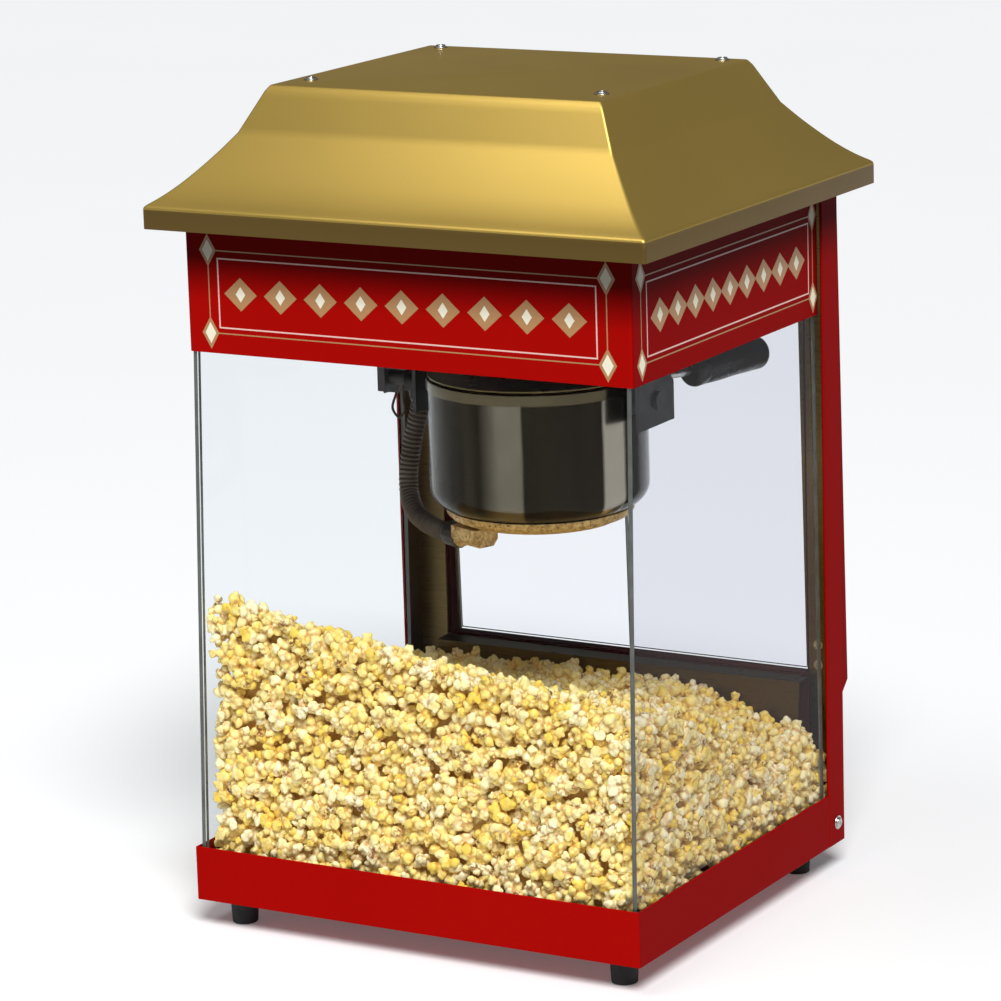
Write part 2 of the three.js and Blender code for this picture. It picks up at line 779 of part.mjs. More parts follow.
function agitatorMotor() {
  const [width, depth, height] = MOTOR.box;
  const seat = YOKE.strapZ + YOKE.thick + GAP;
  const gearbox = block([-width / 2, width / 2], [-depth / 2, depth / 2], [seat, seat + height]);
  return join(gearbox, rod("z", MOTOR.radius, MOTOR.height, [0, 0, seat + height - 1], 24));
}

// The shaft with a long and a short stirring bar.
function agitator() {
  const floor = KETTLE.bottom + KETTLE.wall + 1.2;
  const top = YOKE.strapZ + YOKE.thick;
  return join(
    rod("z", 4, top - floor, [0, 0, floor], 16),
    block([-82, 82], [-4, 4], [floor, floor + 3.5]),
    block([-3.5, 3.5], [-48, 48], [floor, floor + 3.5]),
  );
}

// The cover on the cable entry under the pan, with a collar for the conduit, drawn along +X.
function terminalCover() {
  const { length, width, height } = COVER;
  const top = PAN.bottom - GAP;
  const low = top - height;
  const [half, side] = [length / 2, width / 2];
  const section = [
    [-side + 5, low],
    [side - 5, low],
    [side, low + 6],
    [side, top],
    [-side, top],
    [-side, low + 6],
  ];
  const box = drawnAcross(section, -half, half);
  const conduitZ = CONDUIT_ROUTE.at(-1)[2];
  const collar = rod("x", COLLAR.radius, COLLAR.end - half + 1, [-COLLAR.end, 0, conduitZ], 16);
  return join(box, collar);
}

// The turning elbow on the end of the left trunnion, which the conduit hangs from.
function conduitElbow() {
  const [left, right] = [-119.5, HANGER.left - 0.9];
  const barrel = rod("x", 12, right - left, [left, KETTLE.y, KETTLE.axisZ], 20);
  const [x, y, z] = CONDUIT_ROUTE[0];
  return join(barrel, rod("z", 10, 12, [x, y, z + END_GAP], 16));
}

// A wire clip with a teardrop loop, beside the elbow.
function hitchClip() {
  const y = KETTLE.y - 10;
  const loop = [
    [-121.2, 471],
    [-121.6, 458],
    [-120.8, 447],
    [-127, 440],
    [-133.5, 448],
    [-130, 460],
    [-125.5, 470],
  ];
  return tube(loop.map(([x, z]) => [x, y, z]), 1, 24, 6);
}

const gripStart = new THREE.Vector3(...HANDLE_ROUTE.at(-1));
const gripDirection = new THREE.Vector3(26, 96, 2.4).normalize();

function handleGrip() {
  const { radius, length } = GRIP;
  return turned(
    [
      [0, 0],
      ...arc(radius - 7, 7, 7, -90, 0, 4),
      [radius - 0.8, length * 0.55],
      ...arc(radius - 8.5, length - 8.5, 8.5, 0, 90, 4),
      [0, length],
    ],
    20,
  );
}

add("kettle_pot", kettlePot(), KETTLE_STEEL, kettle);
add("kettle_pan", kettlePan(), PAN_STEEL, kettle);
add("heating_element", heatingElement(), DARK_STEEL, kettle);
add("kettle_yoke", kettleYoke(), DARK_STEEL, kettle);
add("lid_front", kettleLid(-1), STAINLESS, kettle);
add("lid_rear", kettleLid(1), STAINLESS, kettle);
add("agitator_motor", agitatorMotor(), DARK_STEEL, kettle);
add("agitator", agitator(), STAINLESS, kettle);

const cover = add("terminal_cover", terminalCover(), PAN_STEEL);
cover.position.set(COVER.x, COVER.y, 0);
cover.rotation.z = COVER.turn;
add("conduit", tube(CONDUIT_ROUTE, 9, 30, 12), CONDUIT_PLASTIC);
add("conduit_elbow", conduitElbow(), BLACK_PLASTIC);
add("hitch_clip", hitchClip(), ZINC);
add("handle_rod", tube(HANDLE_ROUTE, 4, 12, 10), ZINC);
const grip = add("handle_grip", handleGrip(), BLACK_PLASTIC);
grip.quaternion.setFromUnitVectors(new THREE.Vector3(0, 0, 1), gripDirection);
grip.position.copy(gripStart).addScaledVector(gripDirection, END_GAP);

// ---- popcorn ------------------------------------------------------------------------------------
// The batch in the cabinet: highest at the front left, with a ridge on the right below the kettle's
// lip, and falling away to the rear.
function heapHeight(x, y) {
  const { mapLinear, lerp, smoothstep } = THREE.MathUtils;
  const { frontLeft, frontRight, rearLeft, rearRight, fall } = HEAP_TOP;
  const front = mapLinear(x, -HEAP.half, HEAP.half, frontLeft, frontRight);
  const rear = lerp(rearLeft, rearRight, smoothstep(x, 60, HEAP.half));
  const ridge = 32 * Math.exp(-(((x - 185) / 75) ** 2) - ((y + 75) / 75) ** 2);
  return lerp(front, rear, smoothstep(y, ...fall)) + ridge;
}

// The front of the heap leans with the glass, and its rear with the ledge's apron.
function popcornHeap() {
  const { half, front, rear } = HEAP;
  const bottom = FLOOR.top + GAP;
  const [columns, rows] = [14, 11];
  const slab = new THREE.BoxGeometry(2 * half, rear - front, 1, columns, rows, 1);
  slab.translate(0, (front + rear) / 2, 0.5);
  const points = slab.attributes.position;
  const frontLean = (GLASS_HIGH.front - GLASS_LOW.front) / (GLASS.high - GLASS.low);
  const rearLean = (LEDGE.front - LEDGE.foot) / (LEDGE.frontZ - LEDGE.footZ);
  for (let i = 0; i < points.count; i += 1) {
    const [x, y] = [points.getX(i), points.getY(i)];
    const z = points.getZ(i) > 0.5 ? heapHeight(x, y) : bottom;
    const lean = THREE.MathUtils.mapLinear(y, front, rear, frontLean, rearLean);
    points.setXYZ(i, x, y + lean * (z - bottom), z);
  }
  return slab;
}

add("popcorn_heap", popcornHeap(), CORN);

export default popcornMaker;
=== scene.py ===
"""The looks of a countertop popcorn maker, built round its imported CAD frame.

Metres, +Z up, the front faces -Y. Every size comes from the frame's boxes or is named where it is used.
"""

import json
import math

import bmesh
import bpy
import numpy as np
from mathutils import Euler, Matrix, Vector

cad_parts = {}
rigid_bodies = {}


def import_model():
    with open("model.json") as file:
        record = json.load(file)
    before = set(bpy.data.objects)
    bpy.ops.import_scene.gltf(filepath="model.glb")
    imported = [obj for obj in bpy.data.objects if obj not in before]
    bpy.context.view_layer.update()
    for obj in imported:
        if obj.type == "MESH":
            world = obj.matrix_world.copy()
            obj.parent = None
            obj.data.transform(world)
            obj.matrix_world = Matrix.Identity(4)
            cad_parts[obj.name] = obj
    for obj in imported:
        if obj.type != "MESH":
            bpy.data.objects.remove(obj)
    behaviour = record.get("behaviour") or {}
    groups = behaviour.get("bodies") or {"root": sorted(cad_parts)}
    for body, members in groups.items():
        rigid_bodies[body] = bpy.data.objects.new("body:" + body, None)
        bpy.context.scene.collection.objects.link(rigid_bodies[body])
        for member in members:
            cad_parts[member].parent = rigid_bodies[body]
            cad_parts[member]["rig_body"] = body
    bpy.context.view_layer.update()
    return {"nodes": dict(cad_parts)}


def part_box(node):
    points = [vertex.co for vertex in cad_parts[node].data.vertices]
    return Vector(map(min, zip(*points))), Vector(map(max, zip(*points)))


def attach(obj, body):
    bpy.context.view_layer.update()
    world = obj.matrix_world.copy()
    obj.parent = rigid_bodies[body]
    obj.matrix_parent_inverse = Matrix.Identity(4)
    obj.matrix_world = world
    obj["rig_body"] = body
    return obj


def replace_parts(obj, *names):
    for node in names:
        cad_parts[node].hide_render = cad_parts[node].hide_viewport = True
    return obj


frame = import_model()
NODES = frame["nodes"]
MM = 0.001


# ---- camera and light ---------------------------------------------------------------------------
CAMERA_AT = (1.9629, -3.4168, 1.2942)
CAMERA_ALONG = (-0.4895, 0.8417, -0.2278)
CAMERA_ROLL = math.radians(-1.74)
CAMERA_LENS_MM = 159.75
SENSOR_MM = 36.0


def make_camera():
    along = Vector(CAMERA_ALONG).normalized()
    right = along.cross(Vector((0, 0, 1))).normalized()
    up = right.cross(along)
    rolled_right = right * math.cos(CAMERA_ROLL) + up * math.sin(CAMERA_ROLL)
    rolled_up = up * math.cos(CAMERA_ROLL) - right * math.sin(CAMERA_ROLL)
    data = bpy.data.cameras.new("camera")
    data.lens = CAMERA_LENS_MM
    data.sensor_width = SENSOR_MM
    data.clip_end = 50
    camera = bpy.data.objects.new("camera", data)
    turn = Matrix((rolled_right, rolled_up, -along)).transposed().to_4x4()
    camera.matrix_world = Matrix.Translation(CAMERA_AT) @ turn
    bpy.context.scene.collection.objects.link(camera)
    bpy.context.scene.camera = camera


def area_light(name, at, towards, size, power):
    data = bpy.data.lights.new(name, "AREA")
    data.shape = "RECTANGLE"
    data.size, data.size_y = size
    data.energy = power
    light = bpy.data.objects.new(name, data)
    light.location = at
    light.rotation_euler = (Vector(towards) - Vector(at)).to_track_quat("-Z", "Y").to_euler()
    bpy.context.scene.collection.objects.link(light)


def make_lights():
    """A high key from the front right, a soft box over the roof on the left and a dim room."""
    sun_data = bpy.data.lights.new("sun", "SUN")
    sun_data.energy = 3.4
    sun_data.angle = math.radians(26)
    sun = bpy.data.objects.new("sun", sun_data)
    sun.rotation_euler = Vector((-0.46, 0.60, -0.95)).to_track_quat("-Z", "Y").to_euler()
    bpy.context.scene.collection.objects.link(sun)
    area_light("roof_box", (-0.45, -1.0, 2.7), (0, 0, 0.7), (1.1, 1.1), 13)
    world = bpy.data.worlds.new("studio")
    world.use_nodes = True
    background = world.node_tree.nodes["Background"]
    background.inputs["Color"].default_value = (0.93, 0.96, 1.0, 1)
    background.inputs["Strength"].default_value = 0.12
    bpy.context.scene.world = world
    bpy.context.scene.view_settings.view_transform = "Standard"


def make_floor():
    bpy.ops.mesh.primitive_plane_add(size=60, location=(0, 0, -0.0005))
    floor = bpy.context.object
    floor.name = "floor"
    floor.data.materials.append(studio_floor())


# Where the painted shade on the red paint and the sign's ink begins and ends, in metres: from and to.
ROOF_SHADE = (0.580, 0.618)  # heights under the roof's lip
POST_SKIN = (0.2262, 0.2272)  # through the post's outer plate
POST_FRONT = (0.150, 0.158)  # where the posts begin


# ---- material helpers ---------------------------------------------------------------------------
class Shader:
    """A Principled material and short calls for the nodes that vary it over the surface."""

    def __init__(self, name, colour, roughness, metallic=0.0, **sockets):
        self.material = bpy.data.materials.new(name)
        self.material.use_nodes = True
        self.nodes = self.material.node_tree.nodes
        self.links = self.material.node_tree.links
        self.main = self.nodes["Principled BSDF"]
        self.set("Base Color", (*colour, 1))
        self.set("Roughness", roughness)
        self.set("Metallic", metallic)
        for socket, value in sockets.items():
            self.set(socket.replace("_", " "), value)
        self.place = self.nodes.new("ShaderNodeTexCoord").outputs["Object"]

    def set(self, socket, value):
        self.main.inputs[socket].default_value = value

    def node(self, kind, inputs=(), **settings):
        made = self.nodes.new(kind)
        for key, value in settings.items():
            setattr(made, key, value)
        for key, value in dict(inputs).items():
            if isinstance(value, bpy.types.NodeSocket):
                self.links.new(value, made.inputs[key])
            else:
                made.inputs[key].default_value = value
        return made

    def stretched(self, scale):
        return self.node("ShaderNodeMapping", {"Vector": self.place, "Scale": scale}).outputs["Vector"]

    def noise(self, scale, detail=4, stretch=None, rough=0.5):
        vector = self.stretched(stretch) if stretch else self.place
        inputs = {"Vector": vector, "Scale": scale, "Detail": detail, "Roughness": rough}
        return self.node("ShaderNodeTexNoise", inputs).outputs["Fac"]

    def cells(self, scale):
        return self.node("ShaderNodeTexVoronoi", {"Vector": self.place, "Scale": scale}).outputs["Distance"]

    def spread(self, value, low, high, to_low=0.0, to_high=1.0):
        inputs = {"Value": value, "From Min": low, "From Max": high, "To Min": to_low, "To Max": to_high}
        return self.node("ShaderNodeMapRange", inputs).outputs["Result"]

    def mix(self, share, a, b, blend="MIX"):
        made = self.nodes.new("ShaderNodeMix")
        made.data_type = "RGBA"
        made.blend_type = blend
        for key, value in (("Factor", share), ("A", a), ("B", b)):
            socket = [s for s in made.inputs if s.name == key and s.enabled][0]
            if isinstance(value, bpy.types.NodeSocket):
                self.links.new(value, socket)
            else:
                socket.default_value = (*value, 1) if isinstance(value, tuple) else value
        return [s for s in made.outputs if s.enabled][0]

    def math(self, operation, a, b=0.0):
        made = self.nodes.new("ShaderNodeMath")
        made.operation = operation
        for socket, value in zip(made.inputs, (a, b)):
            if isinstance(value, bpy.types.NodeSocket):
                self.links.new(value, socket)
            else:
                socket.default_value = value
        return made.outputs[0]

    def split(self, vector):
        return self.node("ShaderNodeSeparateXYZ", {"Vector": vector}).outputs

    def height(self):
        """Height over the table in metres."""
        return self.split(self.place)["Z"]

    def under_roof(self):
        """How deep a point lies in the shade of the roof's lip, from 0 to 1."""
        return self.spread(self.height(), *ROOF_SHADE)

    def wall_angle(self, axis_mm):
        """The angle of a point round an upright axis."""
        offset = {0: self.place, 1: (-axis_mm[0] * MM, -axis_mm[1] * MM, 0)}
        at = self.node("ShaderNodeVectorMath", offset, operation="ADD").outputs["Vector"]
        split = self.node("ShaderNodeSeparateXYZ", {"Vector": at})
        return self.math("ARCTAN2", split.outputs["Y"], split.outputs["X"])

    def stripe(self, value, low, high, soft_low, soft_high):
        """1 between low and high, fading to 0 over the two soft widths."""
        rising = self.spread(value, low, low + soft_low)
        return self.math("MULTIPLY", rising, self.spread(value, high - soft_high, high, 1, 0))

    def to(self, socket, value):
        self.links.new(value, self.main.inputs[socket])

    def bump(self, height, strength, distance):
        inputs = {"Height": height, "Strength": strength, "Distance": distance}
        if self.main.inputs["Normal"].is_linked:
            inputs["Normal"] = self.main.inputs["Normal"].links[0].from_socket
        self.links.new(self.node("ShaderNodeBump", inputs).outputs["Normal"], self.main.inputs["Normal"])


def studio_floor():
    s = Shader("studio_floor", (0.86, 0.87, 0.88), 0.8,
               Emission_Color=(0.97, 0.98, 1, 1), Emission_Strength=0.1)
    s.to("Base Color", s.mix(s.noise(2.0), (0.85, 0.86, 0.87), (0.88, 0.885, 0.89)))
    return s.material


def red_enamel():
    """Red paint with painted shade: deeper on the right side, in the roof's shade and on what faces into the
    cabinet.
    """
    s = Shader("red_enamel", (0.33, 0.002, 0.001), 0.4, Specular_IOR_Level=0.008)
    tone = s.mix(s.noise(5, 2), (0.31, 0.002, 0.001), (0.36, 0.003, 0.002))
    normal = s.split(s.node("ShaderNodeNewGeometry").outputs["Normal"])
    # painted shade: faces turned to the right are darker
    side = s.mix(s.spread(normal["X"], 0.6, 0.95), tone, (0.24, 0.001, 0.001))
    at = s.split(s.place)
    # painted shade: faces inside the rear frame that turn into the cabinet are near black
    across = s.spread(s.math("ABSOLUTE", at["X"]), *POST_SKIN, 1, 0)
    indoors = s.math("MULTIPLY", s.spread(at["Y"], *POST_FRONT), across)
    inside_shade_mask = s.math("MULTIPLY", indoors, s.spread(normal["Y"], 0.3, 0.5, 1, 0))
    # painted shade under the roof's lip and inside the rear frame
    s.to("Base Color", s.mix(inside_shade_mask, s.mix(s.under_roof(), side, (0.07, 0.001, 0.001)), (0.05, 0.004, 0.003)))
    s.to("Roughness", s.spread(s.noise(9, 2), 0.3, 0.7, 0.30, 0.38))
    return s.material


def gold_enamel():
    """Satin gold paint with very fine metal flakes, and painted shade darkening its upright faces such as the
    lip.
    """
    s = Shader("gold_enamel", (0.56, 0.39, 0.12), 0.37, 0.9)
    tone = s.mix(s.noise(4, 2), (0.57, 0.385, 0.080), (0.62, 0.42, 0.092))
    flakes = s.math("MULTIPLY", s.spread(s.cells(3200), 0.15, 0.55), 0.25)
    sheet = s.mix(flakes, tone, (0.76, 0.56, 0.17))
    level = s.split(s.node("ShaderNodeNewGeometry").outputs["Normal"])["Z"]
    # painted shade: upright faces, such as the roof's lip, are much darker
    lip_shade_mask = s.spread(s.math("ABSOLUTE", level), 0.04, 0.2, 1, 0)
    s.to("Base Color", s.mix(lip_shade_mask, sheet, (0.15, 0.095, 0.026)))
    s.to("Roughness", s.spread(s.noise(6, 2), 0.3, 0.7, 0.43, 0.47))
    return s.material


def brushed(name, dark, light, roughness, along=(1, 1, 60), scale=40):
    """Rolled or brushed sheet: fine lines across one axis, faint smears."""
    s = Shader(name, light, roughness, 1.0, Anisotropic=0.4)
    lines = s.noise(scale, 4, stretch=along)
    s.to("Base Color", s.mix(s.mix(0.5, lines, s.noise(6, 4)), dark, light))
    s.to("Roughness", s.spread(lines, 0.25, 0.75, roughness - 0.07, roughness + 0.09))
    s.bump(lines, 0.15, 0.0001)
    return s.material


def kettle_steel():
    """Polished steel, nearly black with baked oil, with two pale bands of painted reflection down the wall."""
    s = Shader("kettle_steel", (0.05, 0.04, 0.03), 0.17, 1.0)
    around = s.wall_angle(KETTLE_AT)
    ragged = s.math("ADD", around, s.spread(s.noise(60, 3, stretch=(1, 1, 0.12)), 0, 1, -0.03, 0.03))
    clouds = s.noise(26, 3, stretch=(1, 1, 0.5))
    runs = s.spread(s.noise(70, 3, stretch=(1, 1, 0.06)), 0.35, 0.75)
    dark = s.mix(runs, (0.013, 0.010, 0.006), (0.034, 0.027, 0.018))
    # painted reflection: two paler bands at set angles round the wall
    pale = s.mix(clouds, (0.10, 0.085, 0.060), (0.22, 0.195, 0.145))
    wall = s.mix(s.stripe(ragged, -1.62, -1.19, 0.20, 0.03), dark, pale)
    wall = s.mix(s.stripe(ragged, -0.46, -0.16, 0.04, 0.04), wall, (0.38, 0.34, 0.27))
    rim = s.stripe(s.height(), 0.4795, 0.4925, 0.001, 0.001)
    s.to("Base Color", s.mix(rim, wall, (0.10, 0.08, 0.045)))
    s.to("Roughness", s.spread(s.noise(14, 2), 0.3, 0.75, 0.14, 0.24))
    return s.material


def pan_steel():
    """The base pan: golden brown baked oil over aluminium, in small speckles."""
    s = Shader("pan_steel", (0.45, 0.30, 0.10), 0.5, 0.3)
    blotches = s.spread(s.noise(190, 5, rough=0.7), 0.38, 0.62)
    tone = s.mix(blotches, (0.75, 0.52, 0.18), (0.40, 0.22, 0.05))
    s.to("Base Color", s.mix(s.spread(s.noise(420, 3), 0.58, 0.68), tone, (0.07, 0.035, 0.01)))
    s.to("Roughness", s.spread(blotches, 0, 1, 0.32, 0.6))
    s.bump(s.noise(300, 4), 0.3, 0.0005)
    return s.material


def dark_steel():
    s = Shader("dark_steel", (0.045, 0.043, 0.041), 0.5, 0.6)
    s.to("Base Color", s.mix(s.noise(18, 5), (0.034, 0.033, 0.032), (0.075, 0.072, 0.068)))
    s.to("Roughness", s.spread(s.noise(60, 5), 0.3, 0.7, 0.4, 0.62))
    s.bump(s.noise(600, 2), 0.15, 0.0003)
    return s.material


def zinc_steel():
    s = Shader("zinc_steel", (0.55, 0.55, 0.53), 0.3, 1.0)
    s.to("Base Color", s.mix(s.cells(420), (0.40, 0.40, 0.385), (0.66, 0.66, 0.63)))
    s.to("Roughness", s.spread(s.noise(200, 4), 0.3, 0.7, 0.24, 0.42))
    return s.material


def moulded(name, colour, roughness, grain=1600, height=0.0003):
    """Moulded plastic or rubber with a fine grain and a little wear in its gloss."""
    s = Shader(name, colour, roughness, Specular_IOR_Level=0.25)
    worn = tuple(min(1, c * 1.5 + 0.008) for c in colour)
    s.to("Base Color", s.mix(s.spread(s.noise(25, 5), 0.45, 0.75), colour, worn))
    s.to("Roughness", s.spread(s.noise(90, 4), 0.3, 0.7, roughness - 0.08, roughness + 0.1))
    s.bump(s.noise(grain, 2), 0.2, height)
    return s.material


def clear_pane(name, tint, shine):
    """Thin clear glazing: it lets light straight through and mirrors a little at a low angle."""
    material = bpy.data.materials.new(name)
    material.use_nodes = True
    nodes, links = material.node_tree.nodes, material.node_tree.links
    nodes.remove(nodes["Principled BSDF"])
    clear = nodes.new("ShaderNodeBsdfTransparent")
    clear.inputs["Color"].default_value = (*tint, 1)
    gloss = nodes.new("ShaderNodeBsdfGlossy")
    gloss.inputs["Roughness"].default_value = shine
    gloss.inputs["Color"].default_value = (0.95, 0.97, 1, 1)
    fresnel = nodes.new("ShaderNodeFresnel")
    fresnel.inputs["IOR"].default_value = 1.14
    outside = nodes.new("ShaderNodeMath")
    outside.operation = "SUBTRACT"
    outside.inputs[0].default_value = 1.0
    links.new(nodes.new("ShaderNodeNewGeometry").outputs["Backfacing"], outside.inputs[1])
    shine_outside = nodes.new("ShaderNodeMath")
    shine_outside.operation = "MULTIPLY"
    links.new(fresnel.outputs[0], shine_outside.inputs[0])
    links.new(outside.outputs[0], shine_outside.inputs[1])
    mixed = nodes.new("ShaderNodeMixShader")
    links.new(shine_outside.outputs[0], mixed.inputs[0])
    links.new(clear.outputs[0], mixed.inputs[1])
    links.new(gloss.outputs[0], mixed.inputs[2])
    links.new(mixed.outputs[0], nodes["Material Output"].inputs["Surface"])
    return material


def pane_edge():
    """The ground edge of the glass: dark, with a pale line of light along it."""
    s = Shader("pane_edge", (0.06, 0.065, 0.06), 0.2)
    s.to("Base Color", s.mix(s.noise(60, 4), (0.035, 0.037, 0.032), (0.13, 0.14, 0.125)))
    return s.material


def lamp_glass():
    s = Shader("lamp_glass", (0.95, 0.90, 0.75), 0.25, Transmission_Weight=0.4, Coat_Weight=0.3)
    s.to("Base Color", s.mix(s.noise(40, 3), (0.92, 0.86, 0.7), (0.97, 0.93, 0.82)))
    return s.material


def ink(name, colour):
    """Screen-printed ink on the sign, with painted shade under the roof's lip."""
    s = Shader(name, colour, 0.4)
    darker = tuple(c * 0.86 for c in colour)
    # painted shade: the ink darkens under the roof's lip
    roof_shade_ink = tuple(c * 0.3 for c in colour)
    s.to("Base Color", s.mix(s.under_roof(), s.mix(s.noise(160, 4), darker, colour), roof_shade_ink))
    s.bump(s.noise(1200, 2), 0.1, 0.0001)
    return s.material


def popped_corn():
    """Buttered popped corn: pale and yellow lobes, painted shade in the brown-orange folds, dark flecks of hull
    and a faint painted glow.
    """
    # painted light: a faint warm glow over every kernel
    s = Shader("popped_corn", (0.9, 0.8, 0.45), 0.5, Specular_IOR_Level=0.35,
               Emission_Color=(1, 0.70, 0.26, 1), Emission_Strength=0.05)
    butter = s.node("ShaderNodeAttribute", attribute_name="butter").outputs["Fac"]
    fold = s.node("ShaderNodeAttribute", attribute_name="fold").outputs["Fac"]
    hull = s.node("ShaderNodeAttribute", attribute_name="hull").outputs["Fac"]
    patches = s.spread(s.noise(150, 4), 0.3, 0.7, -0.22, 0.22)
    amount = s.node("ShaderNodeClamp", {"Value": s.math("ADD", butter, patches)}).outputs[0]
    pale = s.mix(s.spread(amount, 0, 0.45), (0.97, 0.90, 0.58), (0.96, 0.80, 0.31))
    tone = s.mix(s.spread(amount, 0.45, 1), pale, (0.93, 0.66, 0.08))
    # painted shade: the folds between lobes turn brown-orange
    fold_shade_colour = s.mix(fold, tone, (0.52, 0.23, 0.03))
    flecks = s.spread(s.noise(320, 4), 0.46, 0.56)
    s.to("Base Color", s.mix(s.math("MULTIPLY", hull, flecks), fold_shade_colour, (0.20, 0.055, 0.012)))
    s.to("Roughness", s.spread(s.noise(300, 3), 0.3, 0.7, 0.45, 0.7))
    s.bump(s.noise(520, 3, rough=0.6), 0.35, 0.0007)
    return s.material


def batch_core():
    """What shows between the kernels: buttery crumbs, coloured darker and more orange as painted shade."""
    s = Shader("batch_core", (0.4, 0.2, 0.04), 0.8)
    s.to("Base Color", s.mix(s.noise(110, 5, rough=0.65), (0.42, 0.20, 0.035), (0.78, 0.48, 0.12)))
    s.bump(s.noise(160, 4), 0.8, 0.003)
    return s.material


# ---- shapes -------------------------------------------------------------------------------------
def finish_mesh(mesh, sharp_degrees=None):
    mesh.shade_smooth()
    if sharp_degrees is not None:
        mesh.set_sharp_from_angle(angle=math.radians(sharp_degrees))
    mesh.validate()
    mesh.update()


def piece(name, vertices, faces, material, body, slot, sharp_degrees=40):
    """A mesh in millimetres that rides on a CAD body, with the given material; the slot argument is not used.
    """
    mesh = bpy.data.meshes.new(name)
    mesh.from_pydata([Vector(v) * MM for v in vertices], [], faces)
    mesh.materials.append(material)
    finish_mesh(mesh, sharp_degrees)
    made = bpy.data.objects.new(name, mesh)
    bpy.context.scene.collection.objects.link(made)
    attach(made, body)
    return made


def moved(vertices, matrix):
    return [tuple(matrix @ Vector(v)) for v in vertices]


def joined(*parts):
    """Several (vertices, faces) pairs as one."""
    vertices, faces = [], []
    for some_vertices, some_faces in parts:
        start = len(vertices)
        vertices += list(some_vertices)
        faces += [tuple(start + i for i in face) for face in some_faces]
    return vertices, faces


def turned(profile, steps=64):
    """A solid of revolution about +Z from pairs of radius and height, the outside on the right."""
    vertices, faces = [], []
    rings = []
    for radius, z in profile:
        start = len(vertices)
        if radius < 1e-6:
            vertices.append((0, 0, z))
            rings.append([start] * steps)
        else:
            turn = 2 * math.pi / steps
            vertices += [(radius * math.cos(i * turn), radius * math.sin(i * turn), z) for i in range(steps)]
            rings.append([start + i for i in range(steps)])
    for low, high in zip(rings, rings[1:]):
        for i in range(steps):
            j = (i + 1) % steps
            corners = [low[i], low[j], high[j], high[i]]
            face = tuple(dict.fromkeys(corners))
            if len(face) > 2:
                faces.append(face)
    return vertices, faces


def bend(r, z, radius, from_degrees, to_degrees, steps=6):
    """Points of an arc about (r, z)."""
    angles = [math.radians(from_degrees + (to_degrees - from_degrees) * i / steps) for i in range(steps + 1)]
    return [(r + radius * math.cos(a), z + radius * math.sin(a)) for a in angles]


def smooth_path(points, per_span=10):
    """Catmull-Rom points through the given ones."""
    known = [Vector(p) for p in points]
    known = [2 * known[0] - known[1], *known, 2 * known[-1] - known[-2]]
    path = []
    for a, b, c, d in zip(known, known[1:], known[2:], known[3:]):
        for i in range(per_span):
            t = i / per_span
            path.append(0.5 * (2 * b + (c - a) * t + (2 * a - 5 * b + 4 * c - d) * t * t
                               + (3 * b - 3 * c + d - a) * t ** 3))
    return path + [known[-2]]


def even_path(path, step):
    """The same line with points a fixed step apart."""
    lengths = [0]
    for a, b in zip(path, path[1:]):
        lengths.append(lengths[-1] + (b - a).length)
    count = max(2, round(lengths[-1] / step))
    made, at = [], 0
    for i in range(count + 1):
        want = lengths[-1] * i / count
        while at < len(path) - 2 and lengths[at + 1] < want:
            at += 1
        share = (want - lengths[at]) / max(1e-9, lengths[at + 1] - lengths[at])
        made.append(path[at].lerp(path[at + 1], min(1, share)))
    return made


def swept(path, radii, sides=16):
    """A closed round tube along a line; radii is one number or one for each point."""
    if not hasattr(radii, "__len__"):
        radii = [radii] * len(path)
    vertices, faces = [], []
    along = (path[1] - path[0]).normalized()
    across = along.orthogonal().normalized()
    for i, point in enumerate(path):
        ahead = path[min(i + 1, len(path) - 1)] - path[max(i - 1, 0)]
        ahead.normalize()
        across = (across - ahead * across.dot(ahead)).normalized()
        other = ahead.cross(across)
        for j in range(sides):
            angle = 2 * math.pi * j / sides
            offset = across * math.cos(angle) + other * math.sin(angle)
            vertices.append(tuple(point + offset * radii[i]))
    for i in range(len(path) - 1):
        for j in range(sides):
            k = (j + 1) % sides
            faces.append((i * sides + j, i * sides + k, (i + 1) * sides + k, (i + 1) * sides + j))
    faces.append(tuple(reversed(range(sides))))
    faces.append(tuple((len(path) - 1) * sides + j for j in range(sides)))
    return vertices, faces


def softened(node, width, material, segments=2):
    """A CAD node with its edges rounded by width millimetres, shown in its place."""
    source = NODES[node]
    mesh = source.data.copy()
    shape = bmesh.new()
    shape.from_mesh(mesh)
    bmesh.ops.remove_doubles(shape, verts=shape.verts, dist=2e-6)
    bmesh.ops.dissolve_limit(shape, angle_limit=math.radians(1), verts=shape.verts, edges=shape.edges)
    shape.to_mesh(mesh)
    shape.free()
    mesh.materials.clear()
    mesh.materials.append(material)
    made = bpy.data.objects.new(node + "_soft", mesh)
    bpy.context.scene.collection.objects.link(made)
    bevel = made.modifiers.new("edges", "BEVEL")
    bevel.width = width * MM
    bevel.segments = segments
    bevel.limit_method = "ANGLE"
    bevel.angle_limit = math.radians(28)
    bevel.use_clamp_overlap = True
    weighted = made.modifiers.new("flat", "WEIGHTED_NORMAL")
    weighted.keep_sharp = False
    mesh.shade_smooth()
    bpy.context.view_layer.update()
    applied = bpy.data.meshes.new_from_object(made.evaluated_get(bpy.context.evaluated_depsgraph_get()))
    made.modifiers.clear()
    made.data = applied
    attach(made, source["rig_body"])
    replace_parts(made, node)
    return made


# ---- roof ---------------------------------------------------------------------------------------
ROOF_TOP = (167.3, 140.1, 764.2)
ROOF_EAVE = (251.0, 223.5, 663.2)
ROOF_LIP_Z = 643.7
ROOF_SHEET = 1.2
# The slope beyond its fold, as a share of the run out to the eave and millimetres down.
ROOF_FLARE = [(0.25, 40.5), (0.4, 55.7), (0.55, 69.5), (0.7, 82.0), (0.85, 92.5), (1.0, 101.0)]


